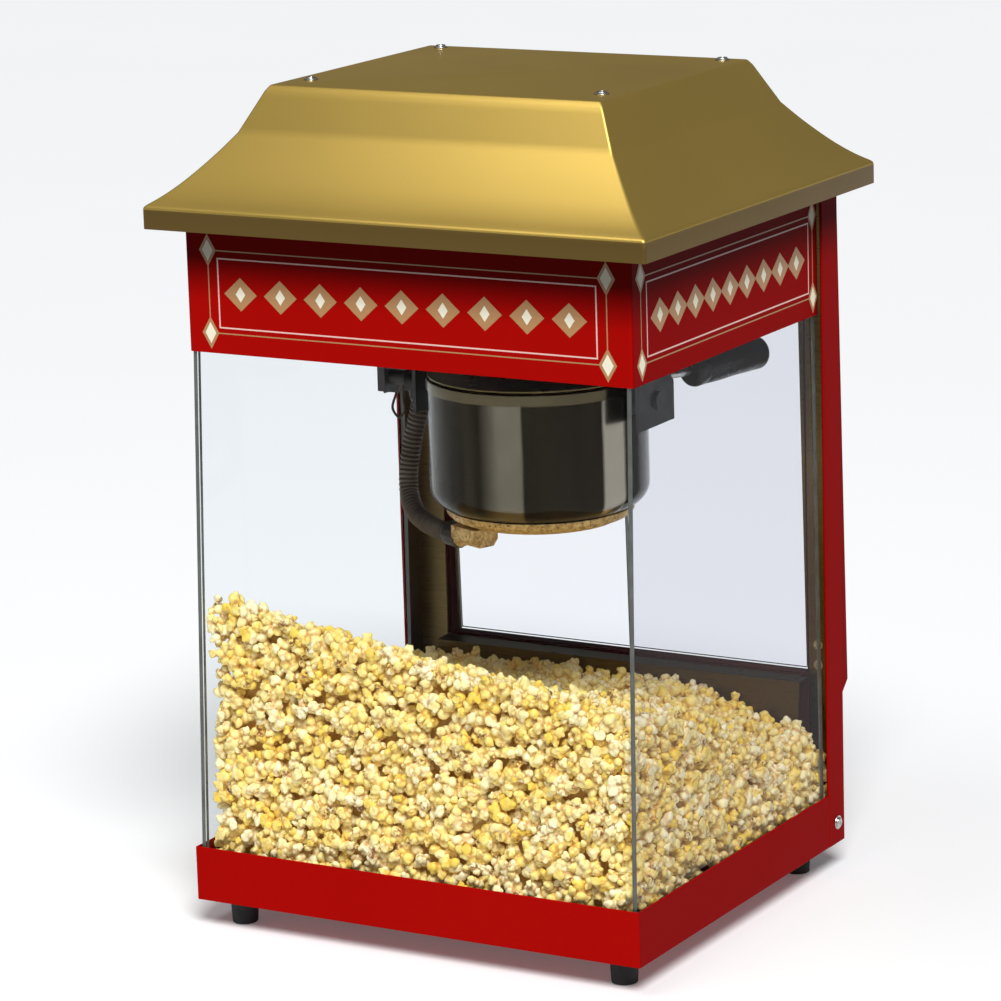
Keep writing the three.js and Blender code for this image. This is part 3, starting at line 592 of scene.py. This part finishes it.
def rounded_loop(half_x, half_y, corner, z, corner_steps=6):
    points = []
    for sign_x, sign_y, start in ((1, -1, -90), (1, 1, 0), (-1, 1, 90), (-1, -1, 180)):
        centre = (sign_x * (half_x - corner), sign_y * (half_y - corner))
        points += [(x, y, z) for x, y in bend(*centre, corner, start, start + 90, corner_steps)]
    return points


def roof_profile():
    """(out along X, out along Y, down, corner radius) of the roof's outer face, from top to lip."""
    top_bend, eave_bend = 2.5, 4.0
    run = (ROOF_EAVE[0] - ROOF_TOP[0], ROOF_EAVE[1] - ROOF_TOP[1])
    drop = ROOF_TOP[2] - ROOF_EAVE[2]
    levels = [(-top_bend, -top_bend, 0.0, 1.5)]
    for angle in (25, 50):
        a = math.radians(angle)
        out = top_bend * (math.sin(a) - 1)
        levels.append((out, out, top_bend * (1 - math.cos(a)), 2))
    fold_share, fold_down = ROOF_FLARE[0]
    straight = [(fold_share * i / 8, fold_down * i / 8) for i in range(1, 8)]
    flare = [(p.x, p.y) for p in smooth_path([(share, down, 0) for share, down in ROOF_FLARE], 5)]
    for share, down in straight + flare:
        if share * run[0] < run[0] - eave_bend + 1.5:
            levels.append((share * run[0], share * run[1], down, 2 + share))
    for angle in (55, 40, 25, 10, 0):
        a = math.radians(angle)
        back = eave_bend * (1 - math.cos(a))
        levels.append((run[0] - back, run[1] - back, drop + 2.2 - eave_bend * math.sin(a), 3.2))
    levels.append((run[0], run[1], ROOF_TOP[2] - ROOF_LIP_Z, 3.2))
    return levels


def make_roof(gold):
    outer = roof_profile()
    loops = [rounded_loop(ROOF_TOP[0] + x, ROOF_TOP[1] + y, r, ROOF_TOP[2] - down) for x, y, down, r in outer]
    x, y, down, r = outer[-1]
    inner_x, inner_y = ROOF_TOP[0] + x - ROOF_SHEET, ROOF_TOP[1] + y - ROOF_SHEET
    loops.append(rounded_loop(inner_x, inner_y, r - ROOF_SHEET, ROOF_LIP_Z))
    loops.append(rounded_loop(inner_x, inner_y, r - ROOF_SHEET, ROOF_LIP_Z + 15))
    for x, y, down, r in reversed(outer[2:-5]):
        inner_z = ROOF_TOP[2] - down - ROOF_SHEET
        loops.append(rounded_loop(ROOF_TOP[0] + x - ROOF_SHEET, ROOF_TOP[1] + y - ROOF_SHEET, 1.5, inner_z))
    vertices = [p for loop in loops for p in loop]
    count = len(loops[0])
    faces = [tuple(range(count))]
    for level in range(len(loops) - 1):
        for i in range(count):
            j = (i + 1) % count
            a, b = level * count, (level + 1) * count
            faces.append((a + i, b + i, b + j, a + j))
    last = (len(loops) - 1) * count
    faces.append(tuple(last + i for i in reversed(range(count))))
    roof = piece("roof", vertices, faces, gold, "cabinet", "gold_paint", sharp_degrees=60)
    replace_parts(roof, "roof_shell")


def screw_head(radius=4.8, height=2.6):
    """A pan head with a cross recess, on a plain washer, its seat at z = 0."""
    washer = turned([(0, 0), (radius + 1.6, 0), (radius + 1.8, 0.3), (radius + 1.6, 0.8), (0, 0.8)], 28)
    dome = [(0, 0.8), (radius, 0.8), (radius, 1.3), *bend(radius - 1.3, 1.3, 1.3, 0, 60, 4),
            (radius * 0.45, height), (radius * 0.3, height - 0.9), (0, height - 0.9)]
    return joined(washer, turned(dome, 28))


def make_screws(zinc):
    for i in range(1, 5):
        low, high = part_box(f"roof_screw_{i}")
        x, y = (low.x + high.x) / 2 / MM, (low.y + high.y) / 2 / MM
        seat = ROOF_TOP[2] + 0.2
        vertices, faces = screw_head()
        placed = moved(vertices, Matrix.Translation((x, y, seat)))
        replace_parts(piece(f"roof_screw_head_{i}", placed, faces, zinc, "cabinet", "zinc"), f"roof_screw_{i}")
    for side, sign in (("left", -1), ("right", 1)):
        low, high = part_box(f"post_screw_{side}")
        y, z = (low.y + high.y) / 2 / MM, (low.z + high.z) / 2 / MM
        vertices, faces = screw_head()
        turn = Matrix.Rotation(sign * math.pi / 2, 4, "Y")
        placed = moved(vertices, Matrix.Translation((sign * 228.6, y, z)) @ turn)
        head = piece(f"post_screw_head_{side}", placed, faces, zinc, "cabinet", "zinc")
        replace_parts(head, f"post_screw_{side}")


def make_hinge_screws(zinc):
    """The two small screws of the right door's lower bracket, seen on the post's inside."""
    for number, z in ((1, 192.3), (2, 211.6)):
        vertices, faces = screw_head(3.0, 2.4)
        turn = Matrix.Rotation(math.pi / 2, 4, "X")
        placed = moved(vertices, Matrix.Translation((205.6, 185.6, z)) @ turn)
        piece(f"hinge_screw_{number}", placed, faces, zinc, "cabinet", "zinc")


# ---- sign printing ------------------------------------------------------------------------------
INK_HEIGHT = 0.15
ROW_COUNT = 9
ROW_Z = 586
ROW_LOZENGE = (17, 15)  # half width and half height
ROW_HEART = (5, 7)


def band(outer, inner):
    """A flat strip between two rows of (u, v) points, raised by the ink's height: (vertices, faces)."""
    count = len(outer)
    rows = [[(u, v, h) for u, v in row] for h in (0, INK_HEIGHT) for row in (outer, inner)]
    vertices = [p for row in rows for p in row]
    faces = []
    low_out, low_in, high_out, high_in = (i * count for i in range(4))
    for i in range(count - 1):
        j = i + 1
        faces.append((high_out + i, high_out + j, high_in + j, high_in + i))
        faces.append((low_out + i, low_in + i, low_in + j, low_out + j))
        faces.append((low_out + i, low_out + j, high_out + j, high_out + i))
        faces.append((low_in + j, low_in + i, high_in + i, high_in + j))
    for i in (0, count - 1):
        faces.append((low_out + i, high_out + i, high_in + i, low_in + i))
    return vertices, faces


def bar(u0, v0, u1, v1):
    return band([(u0, v0), (u1, v0)], [(u0, v1), (u1, v1)])


def frame_lines(u0, v0, u1, v1, width):
    half = width / 2
    return joined(
        bar(u0 - half, v0 - half, u1 + half, v0 + half),
        bar(u0 - half, v1 - half, u1 + half, v1 + half),
        bar(u0 - half, v0 + half, u0 + half, v1 - half),
        bar(u1 - half, v0 + half, u1 + half, v1 - half),
    )


def lozenge(u, v, half_u, half_v, lift=0.0):
    vertices, faces = band([(u - half_u, v), (u, v + half_v)], [(u, v - half_v), (u + half_u, v)])
    return [(a, b, h + lift) for a, b, h in vertices], faces


def ornaments(left, right, half_u, half_v, lift):
    """A plain row of lozenges evenly spread between left and right."""
    pitch = (right - left - 2 * half_u) / (ROW_COUNT - 1)
    places = [left + half_u + i * pitch for i in range(ROW_COUNT)]
    return joined(*[lozenge(u, ROW_Z, half_u, half_v, lift) for u in places])


def sign_panel(name, place, corners, line_corners, row_span, inks):
    """The printing of one side: an outer frame between lozenges, an inner pinstripe and a row of lozenges."""
    (u0, v0), (u1, v1) = corners
    spots = [(u, v) for u in (u0, u1) for v in (v0, v1)]
    (a0, b0), (a1, b1) = line_corners
    narrower = ROW_LOZENGE[0] - ROW_HEART[0]
    heart_span = (row_span[0] + narrower, row_span[1] - narrower)
    prints = {
        "frame": ("tan", frame_lines(u0, v0, u1, v1, 1.1)),
        "lozenges": ("tan", joined(*[lozenge(u, v, 8.8, 14.6, 0.05) for u, v in spots])),
        "hearts": ("cream", joined(*[lozenge(u, v, 5.6, 9.6, 0.12) for u, v in spots])),
        "pinstripe": ("pink", frame_lines(a0, b0, a1, b1, 1.3)),
        "row": ("tan", ornaments(*row_span, *ROW_LOZENGE, 0.0)),
        "row_hearts": ("cream", ornaments(*heart_span, *ROW_HEART, 0.12)),
    }
    for part, (colour, (vertices, faces)) in prints.items():
        placed = [place(*v) for v in vertices]
        piece(f"{name}_{part}", placed, faces, inks[colour], "cabinet", None, sharp_degrees=30)


def make_sign_printing(inks):
    face_x, face_y = 223.62, -198.62
    sign_panel("sign_front", lambda u, v, h: (u, face_y - h, v), ((-200, 549.8), (200, 624)),
               ((-190, 555), (190, 617)), (-184, 181), inks)
    sides = ((-182, 549.0), (147, 624)), ((-171.5, 554), (138.5, 618)), (-165, 131)
    sign_panel("sign_right", lambda u, v, h: (face_x + h, u, v), *sides, inks)
    middle = -17.5
    sign_panel("sign_left", lambda u, v, h: (-face_x - h, 2 * middle - u, v), *sides, inks)


# ---- kettle -------------------------------------------------------------------------------------
KETTLE_AT = (14.7, 5.6)


def on_kettle(vertices):
    return [(x + KETTLE_AT[0], y + KETTLE_AT[1], z) for x, y, z in vertices]


def make_kettle(steel, pan, rod_steel, black):
    outer = [(0, 370), (78, 370), *bend(80, 390, 20, -85, -5, 8), (100, 392), (100, 480.6),
             *bend(101.5 - 0.9, 481.6, 0.9, -60, 0, 3), (101.5, 489.6), *bend(99.6, 489.6, 1.9, 10, 170, 8),
             (98, 489), (98, 392), *bend(80, 390, 18, -5, -85, 6), (0, 372)]
    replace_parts(piece("pot", *kettle_solid(outer), steel, "kettle", "kettle_steel"), "kettle_pot")
    dish = [(0, 357), (71, 357), *bend(71, 360, 3, -80, -40, 3), (82, 361.4), (85.5, 365), (86, 369.7),
            (84.6, 369.7), (83.8, 366), (81, 363), (71, 358.5), (0, 358.5)]
    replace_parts(piece("pan", *kettle_solid(dish), pan, "kettle", "pan_steel"), "kettle_pan")
    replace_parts(piece("handle_stem", *swept(smooth_path(HANDLE_ROUTE), 4.0, 20), rod_steel, "kettle", "zinc"),
                "handle_rod")
    make_grip(black)


def kettle_solid(profile):
    vertices, faces = turned(profile, 96)
    return on_kettle(vertices), faces


HANDLE_ROUTE = [(124.2, 18, 486), (124.2, 27, 488), (125.5, 36, 489.3), (130, 44.5, 490.2),
                (134.9, 50.6, 490.5), (138.5, 63.5, 490.6)]
CONDUIT_ROUTE = [(-109.5, 5.6, 458), (-110.6, 5.6, 447), (-117.5, 3, 418), (-120.8, 0, 391),
                 (-118.2, -5, 369), (-103.5, -18, 354), (-77, -29, 345.5), (-52.2, -37.6, 344)]


def make_grip(black):
    """The turned plastic grip, with a shallow groove near the rod."""
    radius, length = 16, 98
    profile = [(0, 0), *bend(radius - 6, 6, 6, -80, -5, 6), (radius - 0.4, 14), (radius - 0.9, 15),
               (radius - 0.5, 16), (radius - 0.2, 36), (radius - 0.9, 56),
               *bend(radius - 9, length - 9, 8.4, 5, 88, 8), (0, length)]
    vertices, faces = turned(profile, 48)
    along = Vector((26, 96, 2.4)).normalized()
    start = Vector(HANDLE_ROUTE[-1]) + along * 1.2
    turn = along.to_track_quat("Z", "Y").to_matrix().to_4x4()
    placed = moved(vertices, Matrix.Translation(start) @ turn)
    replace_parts(piece("grip", placed, faces, black, "kettle", "black_plastic"), "handle_grip")


def make_conduit(sleeve, wire_finish, steel):
    """The ribbed sleeve, its nut under the pot and the wire clip by the elbow."""
    step = 0.45
    path = even_path(smooth_path(CONDUIT_ROUTE, 14), step)
    pitch = 4.3
    radii = [8.6 + 0.7 * math.sin(2 * math.pi * i * step / pitch) for i in range(len(path))]
    hose = piece("hose", *swept(path, radii, 20), sleeve, "kettle", "conduit", sharp_degrees=None)
    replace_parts(hose, "conduit")
    loop = [(-121.2, 471), (-121.6, 458), (-120.8, 447), (-127, 440), (-133.5, 448), (-130, 460),
            (-125.5, 470)]
    wire = smooth_path([(x, -4.4, z) for x, z in loop], 8)
    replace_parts(piece("clip", *swept(wire, 1.2, 10), wire_finish, "kettle", "zinc"), "hitch_clip")
    end, before = Vector(CONDUIT_ROUTE[-1]), Vector(CONDUIT_ROUTE[-2])
    along = (end - before).normalized()
    nut = turned([(9.2, 0), (11.0, 0.4), (11.3, 3), (11.3, 17), (10.6, 18.6), (9.2, 19)], 12)
    turn = along.to_track_quat("Z", "Y").to_matrix().to_4x4()
    piece("hose_nut", moved(nut[0], Matrix.Translation(end - along * 7) @ turn), nut[1], steel, "kettle",
          "dark_steel", sharp_degrees=20)


def make_lamp(glass):
    low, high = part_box("lamp_bulb")
    x, y = (low.x + high.x) / 2 / MM, (low.y + high.y) / 2 / MM
    top = high.z / MM
    bulb = [(0, top - 61.7), *bend(0, top - 37, 24.6, -88, 30, 14), (16, top - 12), (12.6, top - 3),
            (12.4, top), (0, top)]
    vertices, faces = turned(bulb, 40)
    placed = [(a + x, b + y, c) for a, b, c in vertices]
    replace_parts(piece("bulb", placed, faces, glass, "cabinet", "lamp_glass"), "lamp_bulb")


def make_feet(rubber):
    for side, sign in (("left", -1), ("right", 1)):
        for end, y in (("front", -190), ("rear", 151)):
            node = f"foot_{end}_{side}"
            profile = [(0, 0), (10.6, 0), *bend(10.6, 1.2, 1.2, -80, -10, 3), (12.9, 22),
                       *bend(11.9, 23.6, 1.0, 0, 90, 3), (0, 24.6)]
            vertices, faces = turned(profile, 40)
            placed = [(a + sign * 197, b + y, c) for a, b, c in vertices]
            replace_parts(piece(node + "_round", placed, faces, rubber, "cabinet", "rubber"), node)


# ---- popcorn ------------------------------------------------------------------------------------
HEAP = {"half": 216.0, "front": -206.0, "rear": 147.0, "floor": 58.3}
LOBE_JOIN = 0.055  # how finely the lobes are melted together, in kernel radii
KERNEL_FACES = 480
KERNEL_SHAPES = 18
KERNEL_BATCHES = 10
KERNEL_SPACING = 11.2
LAYER_DEPTH = 9
CORE_INSET = 19


def smoothstep(value, low, high):
    share = np.clip((value - low) / (high - low), 0, 1)
    return share * share * (3 - 2 * share)


def heap_height(x, y):
    """Height of the top of the batch, which falls from the front left to the rear and the right."""
    share = (x + HEAP["half"]) / (2 * HEAP["half"])
    front = 334 + (248 - 334) * share
    rear = 172 + (144 - 172) * smoothstep(x, 60, HEAP["half"])
    ridge = 32 * np.exp(-((x - 185) / 75) ** 2 - ((y + 75) / 75) ** 2)
    beside_apron = np.where(abs(x) > 196, 1.1 * np.maximum(0, y - 145), 0)
    return front + (rear - front) * smoothstep(y, -300, 100) + ridge - beside_apron


def heap_limits(z):
    """The room between the panes at a height: half width, front, rear in the middle and at the sides."""
    up = z - 60.6
    return 219.4 - 0.007 * up, -209.8 + 0.0388 * up, 150 + 0.124 * up, 184


def kernel_lobes(rng):
    """Centres, radii and butter of a kernel's lobes: a core, big lobes round it and curls on each of them."""
    centres, radii, butters = [np.zeros(3)], [0.36], [0.5]
    for _ in range(rng.integers(5, 8)):
        direction = rng.normal(size=3)
        direction /= np.linalg.norm(direction)
        far = rng.uniform(0.36, 0.66)
        size = rng.uniform(0.22, 0.35)
        tone = rng.uniform(0, 1)
        centres.append(direction * far)
        radii.append(size)
        butters.append(tone)
        for _ in range(rng.integers(3, 6)):
            side = rng.normal(size=3) + direction * 0.5
            side /= np.linalg.norm(side)
            centres.append(direction * far + side * size * 0.85)
            radii.append(size * rng.uniform(0.38, 0.62))
            butters.append(np.clip(tone + rng.uniform(-0.35, 0.25), 0, 1))
    return np.array(centres), np.array(radii), np.array(butters)


def melted(centres, radii):
    """One crumpled skin round all the lobes, thinned to a few hundred triangles: (points, faces)."""
    shape = bmesh.new()
    for centre, radius in zip(centres, radii):
        bmesh.ops.create_icosphere(shape, subdivisions=2, radius=radius, matrix=Matrix.Translation(centre))
    mesh = bpy.data.meshes.new("lobes")
    shape.to_mesh(mesh)
    shape.free()
    holder = bpy.data.objects.new("lobes", mesh)
    bpy.context.scene.collection.objects.link(holder)
    skin = holder.modifiers.new("skin", "REMESH")
    skin.mode = "VOXEL"
    skin.voxel_size = LOBE_JOIN
    bpy.context.view_layer.update()
    count = len(holder.evaluated_get(bpy.context.evaluated_depsgraph_get()).data.polygons)
    thin = holder.modifiers.new("thin", "DECIMATE")
    thin.ratio = KERNEL_FACES / (2 * count)
    bpy.context.view_layer.update()
    made = holder.evaluated_get(bpy.context.evaluated_depsgraph_get()).to_mesh()
    made.calc_loop_triangles()
    points = np.array([v.co[:] for v in made.vertices])
    faces = np.array([t.vertices[:] for t in made.loop_triangles])
    bpy.data.objects.remove(holder)
    return points, faces


def kernel_shape(rng):
    """A kernel about one unit in radius: (points, faces, butter, fold, hull), the last three by point."""
    centres, radii, butters = kernel_lobes(rng)
    points, faces = melted(centres, radii)
    depth = np.linalg.norm(points[:, None] - centres[None], axis=2) - radii
    nearest = np.argmin(depth, axis=1)
    order = np.sort(depth, axis=1)
    radius = np.linalg.norm(points, axis=1)
    # fold: where lobes meet, later given painted shade
    fold = np.clip(1 - (order[:, 1] - order[:, 0]) / 0.06, 0, 1) * np.clip((0.95 - radius) / 0.4, 0, 1)
    split = rng.normal(size=3)
    split /= np.linalg.norm(split)
    hull = np.clip((points @ split - radius * 0.72) / 0.1, 0, 1) * np.clip((0.9 - radius) / 0.2, 0, 1)
    return points, faces, butters[nearest], fold, hull


def shell_points(rng, depth):
    """Random points near the heap's top and its faces behind the panes, each row an x, y, z."""
    tries = 900000
    clear = 6.5
    x, y = rng.uniform(-213, 213, tries), rng.uniform(-205, 180, tries)
    top, low = heap_height(x, y) - 4, HEAP["floor"] + 8
    z = low + rng.random(tries) * (top - low)
    half, front, apron, post = heap_limits(z)
    rear = np.where(abs(x) < 198, apron, post) - clear
    fits = (abs(x) < half - clear) & (y > front + clear) & (y < rear)
    behind = np.minimum.reduce([top - z, y - front - clear, half - clear - abs(x), rear - y])
    return np.stack([x, y, z], axis=1)[fits & (behind < depth)]


def kernel_places(rng, spacing, depth):
    """Middles of kernels in one layer of the heap, spaced apart."""
    taken = {}
    places = []
    for x, y, z in shell_points(rng, depth).tolist():
        cell = (int(x // spacing), int(y // spacing), int(z // spacing))
        near = [p for i in (-1, 0, 1) for j in (-1, 0, 1) for k in (-1, 0, 1)
                for p in taken.get((cell[0] + i, cell[1] + j, cell[2] + k), ())]
        if any((x - a) ** 2 + (y - b) ** 2 + (z - c) ** 2 < spacing ** 2 for a, b, c in near):
            continue
        taken.setdefault(cell, []).append((x, y, z))
        places.append((x, y, z))
    return places


def placed_kernel(rng, shape, place):
    """A kernel turned, sized and pushed back inside the panes: (points, faces, butter, fold, hull)."""
    points, faces, butter, fold, hull = shape
    turn = np.array(Euler(rng.uniform(0, 2 * math.pi, 3)).to_matrix())
    size = rng.uniform(12.0, 16.0)
    stretch = rng.uniform(0.8, 1.15, 3)
    put = (points * stretch * size) @ turn.T + place
    half, front, _, post = heap_limits(put[:, 2])
    put[:, 0] = np.clip(put[:, 0], -half, half)
    put[:, 1] = np.clip(put[:, 1], front, post)
    own = rng.normal(0.2, 0.25)
    return put, faces, np.clip(butter * 0.55 + own, 0, 1), fold, hull * (rng.random() < 0.7)


def kernel_mesh(name, kernels, material):
    """One mesh of many kernels, with their three tones as point attributes."""
    starts = np.cumsum([0] + [len(k[0]) for k in kernels])
    points = np.concatenate([k[0] for k in kernels]) * MM
    indices = np.concatenate([k[1] + start for k, start in zip(kernels, starts)])
    mesh = bpy.data.meshes.new(name)
    mesh.vertices.add(len(points))
    mesh.vertices.foreach_set("co", points.astype(np.float32).ravel())
    mesh.loops.add(indices.size)
    mesh.loops.foreach_set("vertex_index", indices.astype(np.int32).ravel())
    mesh.polygons.add(len(indices))
    mesh.polygons.foreach_set("loop_start", np.arange(0, indices.size, 3, dtype=np.int32))
    for place, attribute_name in ((2, "butter"), (3, "fold"), (4, "hull")):
        attribute = mesh.attributes.new(attribute_name, "FLOAT", "POINT")
        attribute.data.foreach_set("value", np.concatenate([k[place] for k in kernels]).astype(np.float32))
    mesh.materials.append(material)
    mesh.update(calc_edges=True)
    finish_mesh(mesh)
    return mesh


def make_core(material):
    """The inside of the batch, a layer's depth below its surface."""
    half, rear = HEAP["half"] - CORE_INSET, HEAP["rear"] - 4
    columns, rows = 30, 24
    floor = HEAP["floor"] + 1
    vertices, low = [], []
    faces = []
    for row in range(rows + 1):
        for column in range(columns + 1):
            x = -half + 2 * half * column / columns
            front = heap_limits(heap_height(x, HEAP["front"]))[1] + CORE_INSET
            low_front = heap_limits(floor)[1] + CORE_INSET
            y = front + (rear - front) * row / rows
            vertices.append((x, y, heap_height(x, y) - CORE_INSET))
            low.append((x, low_front + (rear - low_front) * row / rows, floor))
    top = len(vertices)
    vertices += low
    wide = columns + 1
    for row in range(rows):
        for column in range(columns):
            a = row * wide + column
            faces.append((a, a + 1, a + wide + 1, a + wide))
            faces.append((top + a, top + a + wide, top + a + wide + 1, top + a + 1))
    edge = [*range(columns), *range(columns, rows * wide + columns, wide),
            *range(rows * wide + columns, rows * wide, -1), *range(rows * wide, 0, -wide)]
    for a, b in zip(edge, edge[1:] + edge[:1]):
        faces.append((a, top + a, top + b, b))
    core = piece("batch_core", vertices, faces, material, "cabinet", "popcorn", sharp_degrees=50)
    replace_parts(core, "popcorn_heap")


def make_popcorn(corn, core):
    make_core(core)
    rng = np.random.default_rng(11)
    shapes = [kernel_shape(rng) for _ in range(KERNEL_SHAPES)]
    places = kernel_places(rng, KERNEL_SPACING, LAYER_DEPTH)
    for batch in range(KERNEL_BATCHES):
        own_places = places[batch::KERNEL_BATCHES]
        kernels = [placed_kernel(rng, shapes[rng.integers(len(shapes))], place) for place in own_places]
        mesh = kernel_mesh(f"popcorn_{batch + 1}", kernels, corn)
        made = bpy.data.objects.new(mesh.name, mesh)
        bpy.context.scene.collection.objects.link(made)
        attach(made, "cabinet")


# ---- everything ---------------------------------------------------------------------------------
def dress_frame():
    red, gold, zinc = red_enamel(), gold_enamel(), zinc_steel()
    stainless = brushed("stainless", (0.075, 0.050, 0.020), (0.20, 0.14, 0.055), 0.3)
    dark, steel, pan = dark_steel(), kettle_steel(), pan_steel()
    black = moulded("black_plastic", (0.008, 0.005, 0.004), 0.32)
    rubber = moulded("rubber", (0.016, 0.016, 0.017), 0.75, 900)
    sleeve = moulded("conduit_sleeve", (0.10, 0.08, 0.06), 0.5)
    wire = moulded("dark_wire", (0.05, 0.032, 0.02), 0.35)
    groups = [
        (red, "red_paint", 0.9, ["base_tray"]),
        (red, "red_paint", 0.45, ["sign_band"]),
        (red, "red_paint", 0.6, ["post_left", "post_right", "rear_lower_panel", "rear_control_panel",
                                 "door_surround"]),
        (stainless, "stainless", 0.3, ["post_liner_left", "post_liner_right", "rear_ledge", "crumb_drawer",
                                       "ceiling_deck", "lid_front", "lid_rear", "agitator",
                                       "door_left_rail", "door_right_rail"]),
        (dark, "dark_steel", 0.4, ["cabinet_floor", "glazing_channel", "hanger_left", "hanger_right",
                                   "junction_box", "kettle_yoke", "heating_element", "agitator_motor"]),
        (zinc, "zinc", 0.3, ["roof_frame"]),
        (pan, "pan_steel", 1.5, ["terminal_cover"]),
        (black, "black_plastic", 0.5, ["switch_bezel", "mains_inlet", "rocker_motor", "rocker_heat",
                                       "rocker_light", "door_left_knob", "door_right_knob", "conduit_elbow",
                                       "lamp_socket"]),
    ]
    for material, slot, width, nodes in groups:
        for node in nodes:
            softened(node, width, material)
    make_glazing()
    make_roof(gold)
    make_screws(zinc)
    make_hinge_screws(zinc)
    make_sign_printing({"tan": ink("ink_tan", (0.42, 0.21, 0.075)),
                        "cream": ink("ink_cream", (0.84, 0.80, 0.62)),
                        "pink": ink("ink_pink", (0.80, 0.50, 0.44))})
    make_kettle(steel, pan, zinc, black)
    make_conduit(sleeve, wire, dark)
    make_lamp(lamp_glass())
    make_feet(rubber)
    make_popcorn(popped_corn(), batch_core())


def make_glazing():
    """Glass with ground edges, and the acrylic doors."""
    edge = pane_edge()
    panes = [("glass_front", clear_pane("glass_front", (0.975, 0.985, 0.99), 0.03), "glass"),
             ("glass_left", clear_pane("glass_left", (0.97, 0.98, 0.985), 0.03), "glass"),
             # painted shade: the right pane is tinted darker than the others
             ("glass_right", clear_pane("glass_right", (0.90, 0.905, 0.925), 0.03), "glass"),
             ("door_left_pane", clear_pane("door_left", (0.97, 0.975, 0.99), 0.06), "acrylic"),
             ("door_right_pane", clear_pane("door_right", (0.97, 0.975, 0.99), 0.06), "acrylic")]
    for node, material, slot in panes:
        pane = softened(node, 0.35, material, segments=1)
        pane.data.materials.append(edge)
        low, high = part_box(node)
        thin = min(range(3), key=lambda axis: high[axis] - low[axis])
        for face in pane.data.polygons:
            if abs(face.normal[thin]) < 0.6:
                face.material_index = 1


make_camera()
make_lights()
make_floor()
dress_frame()
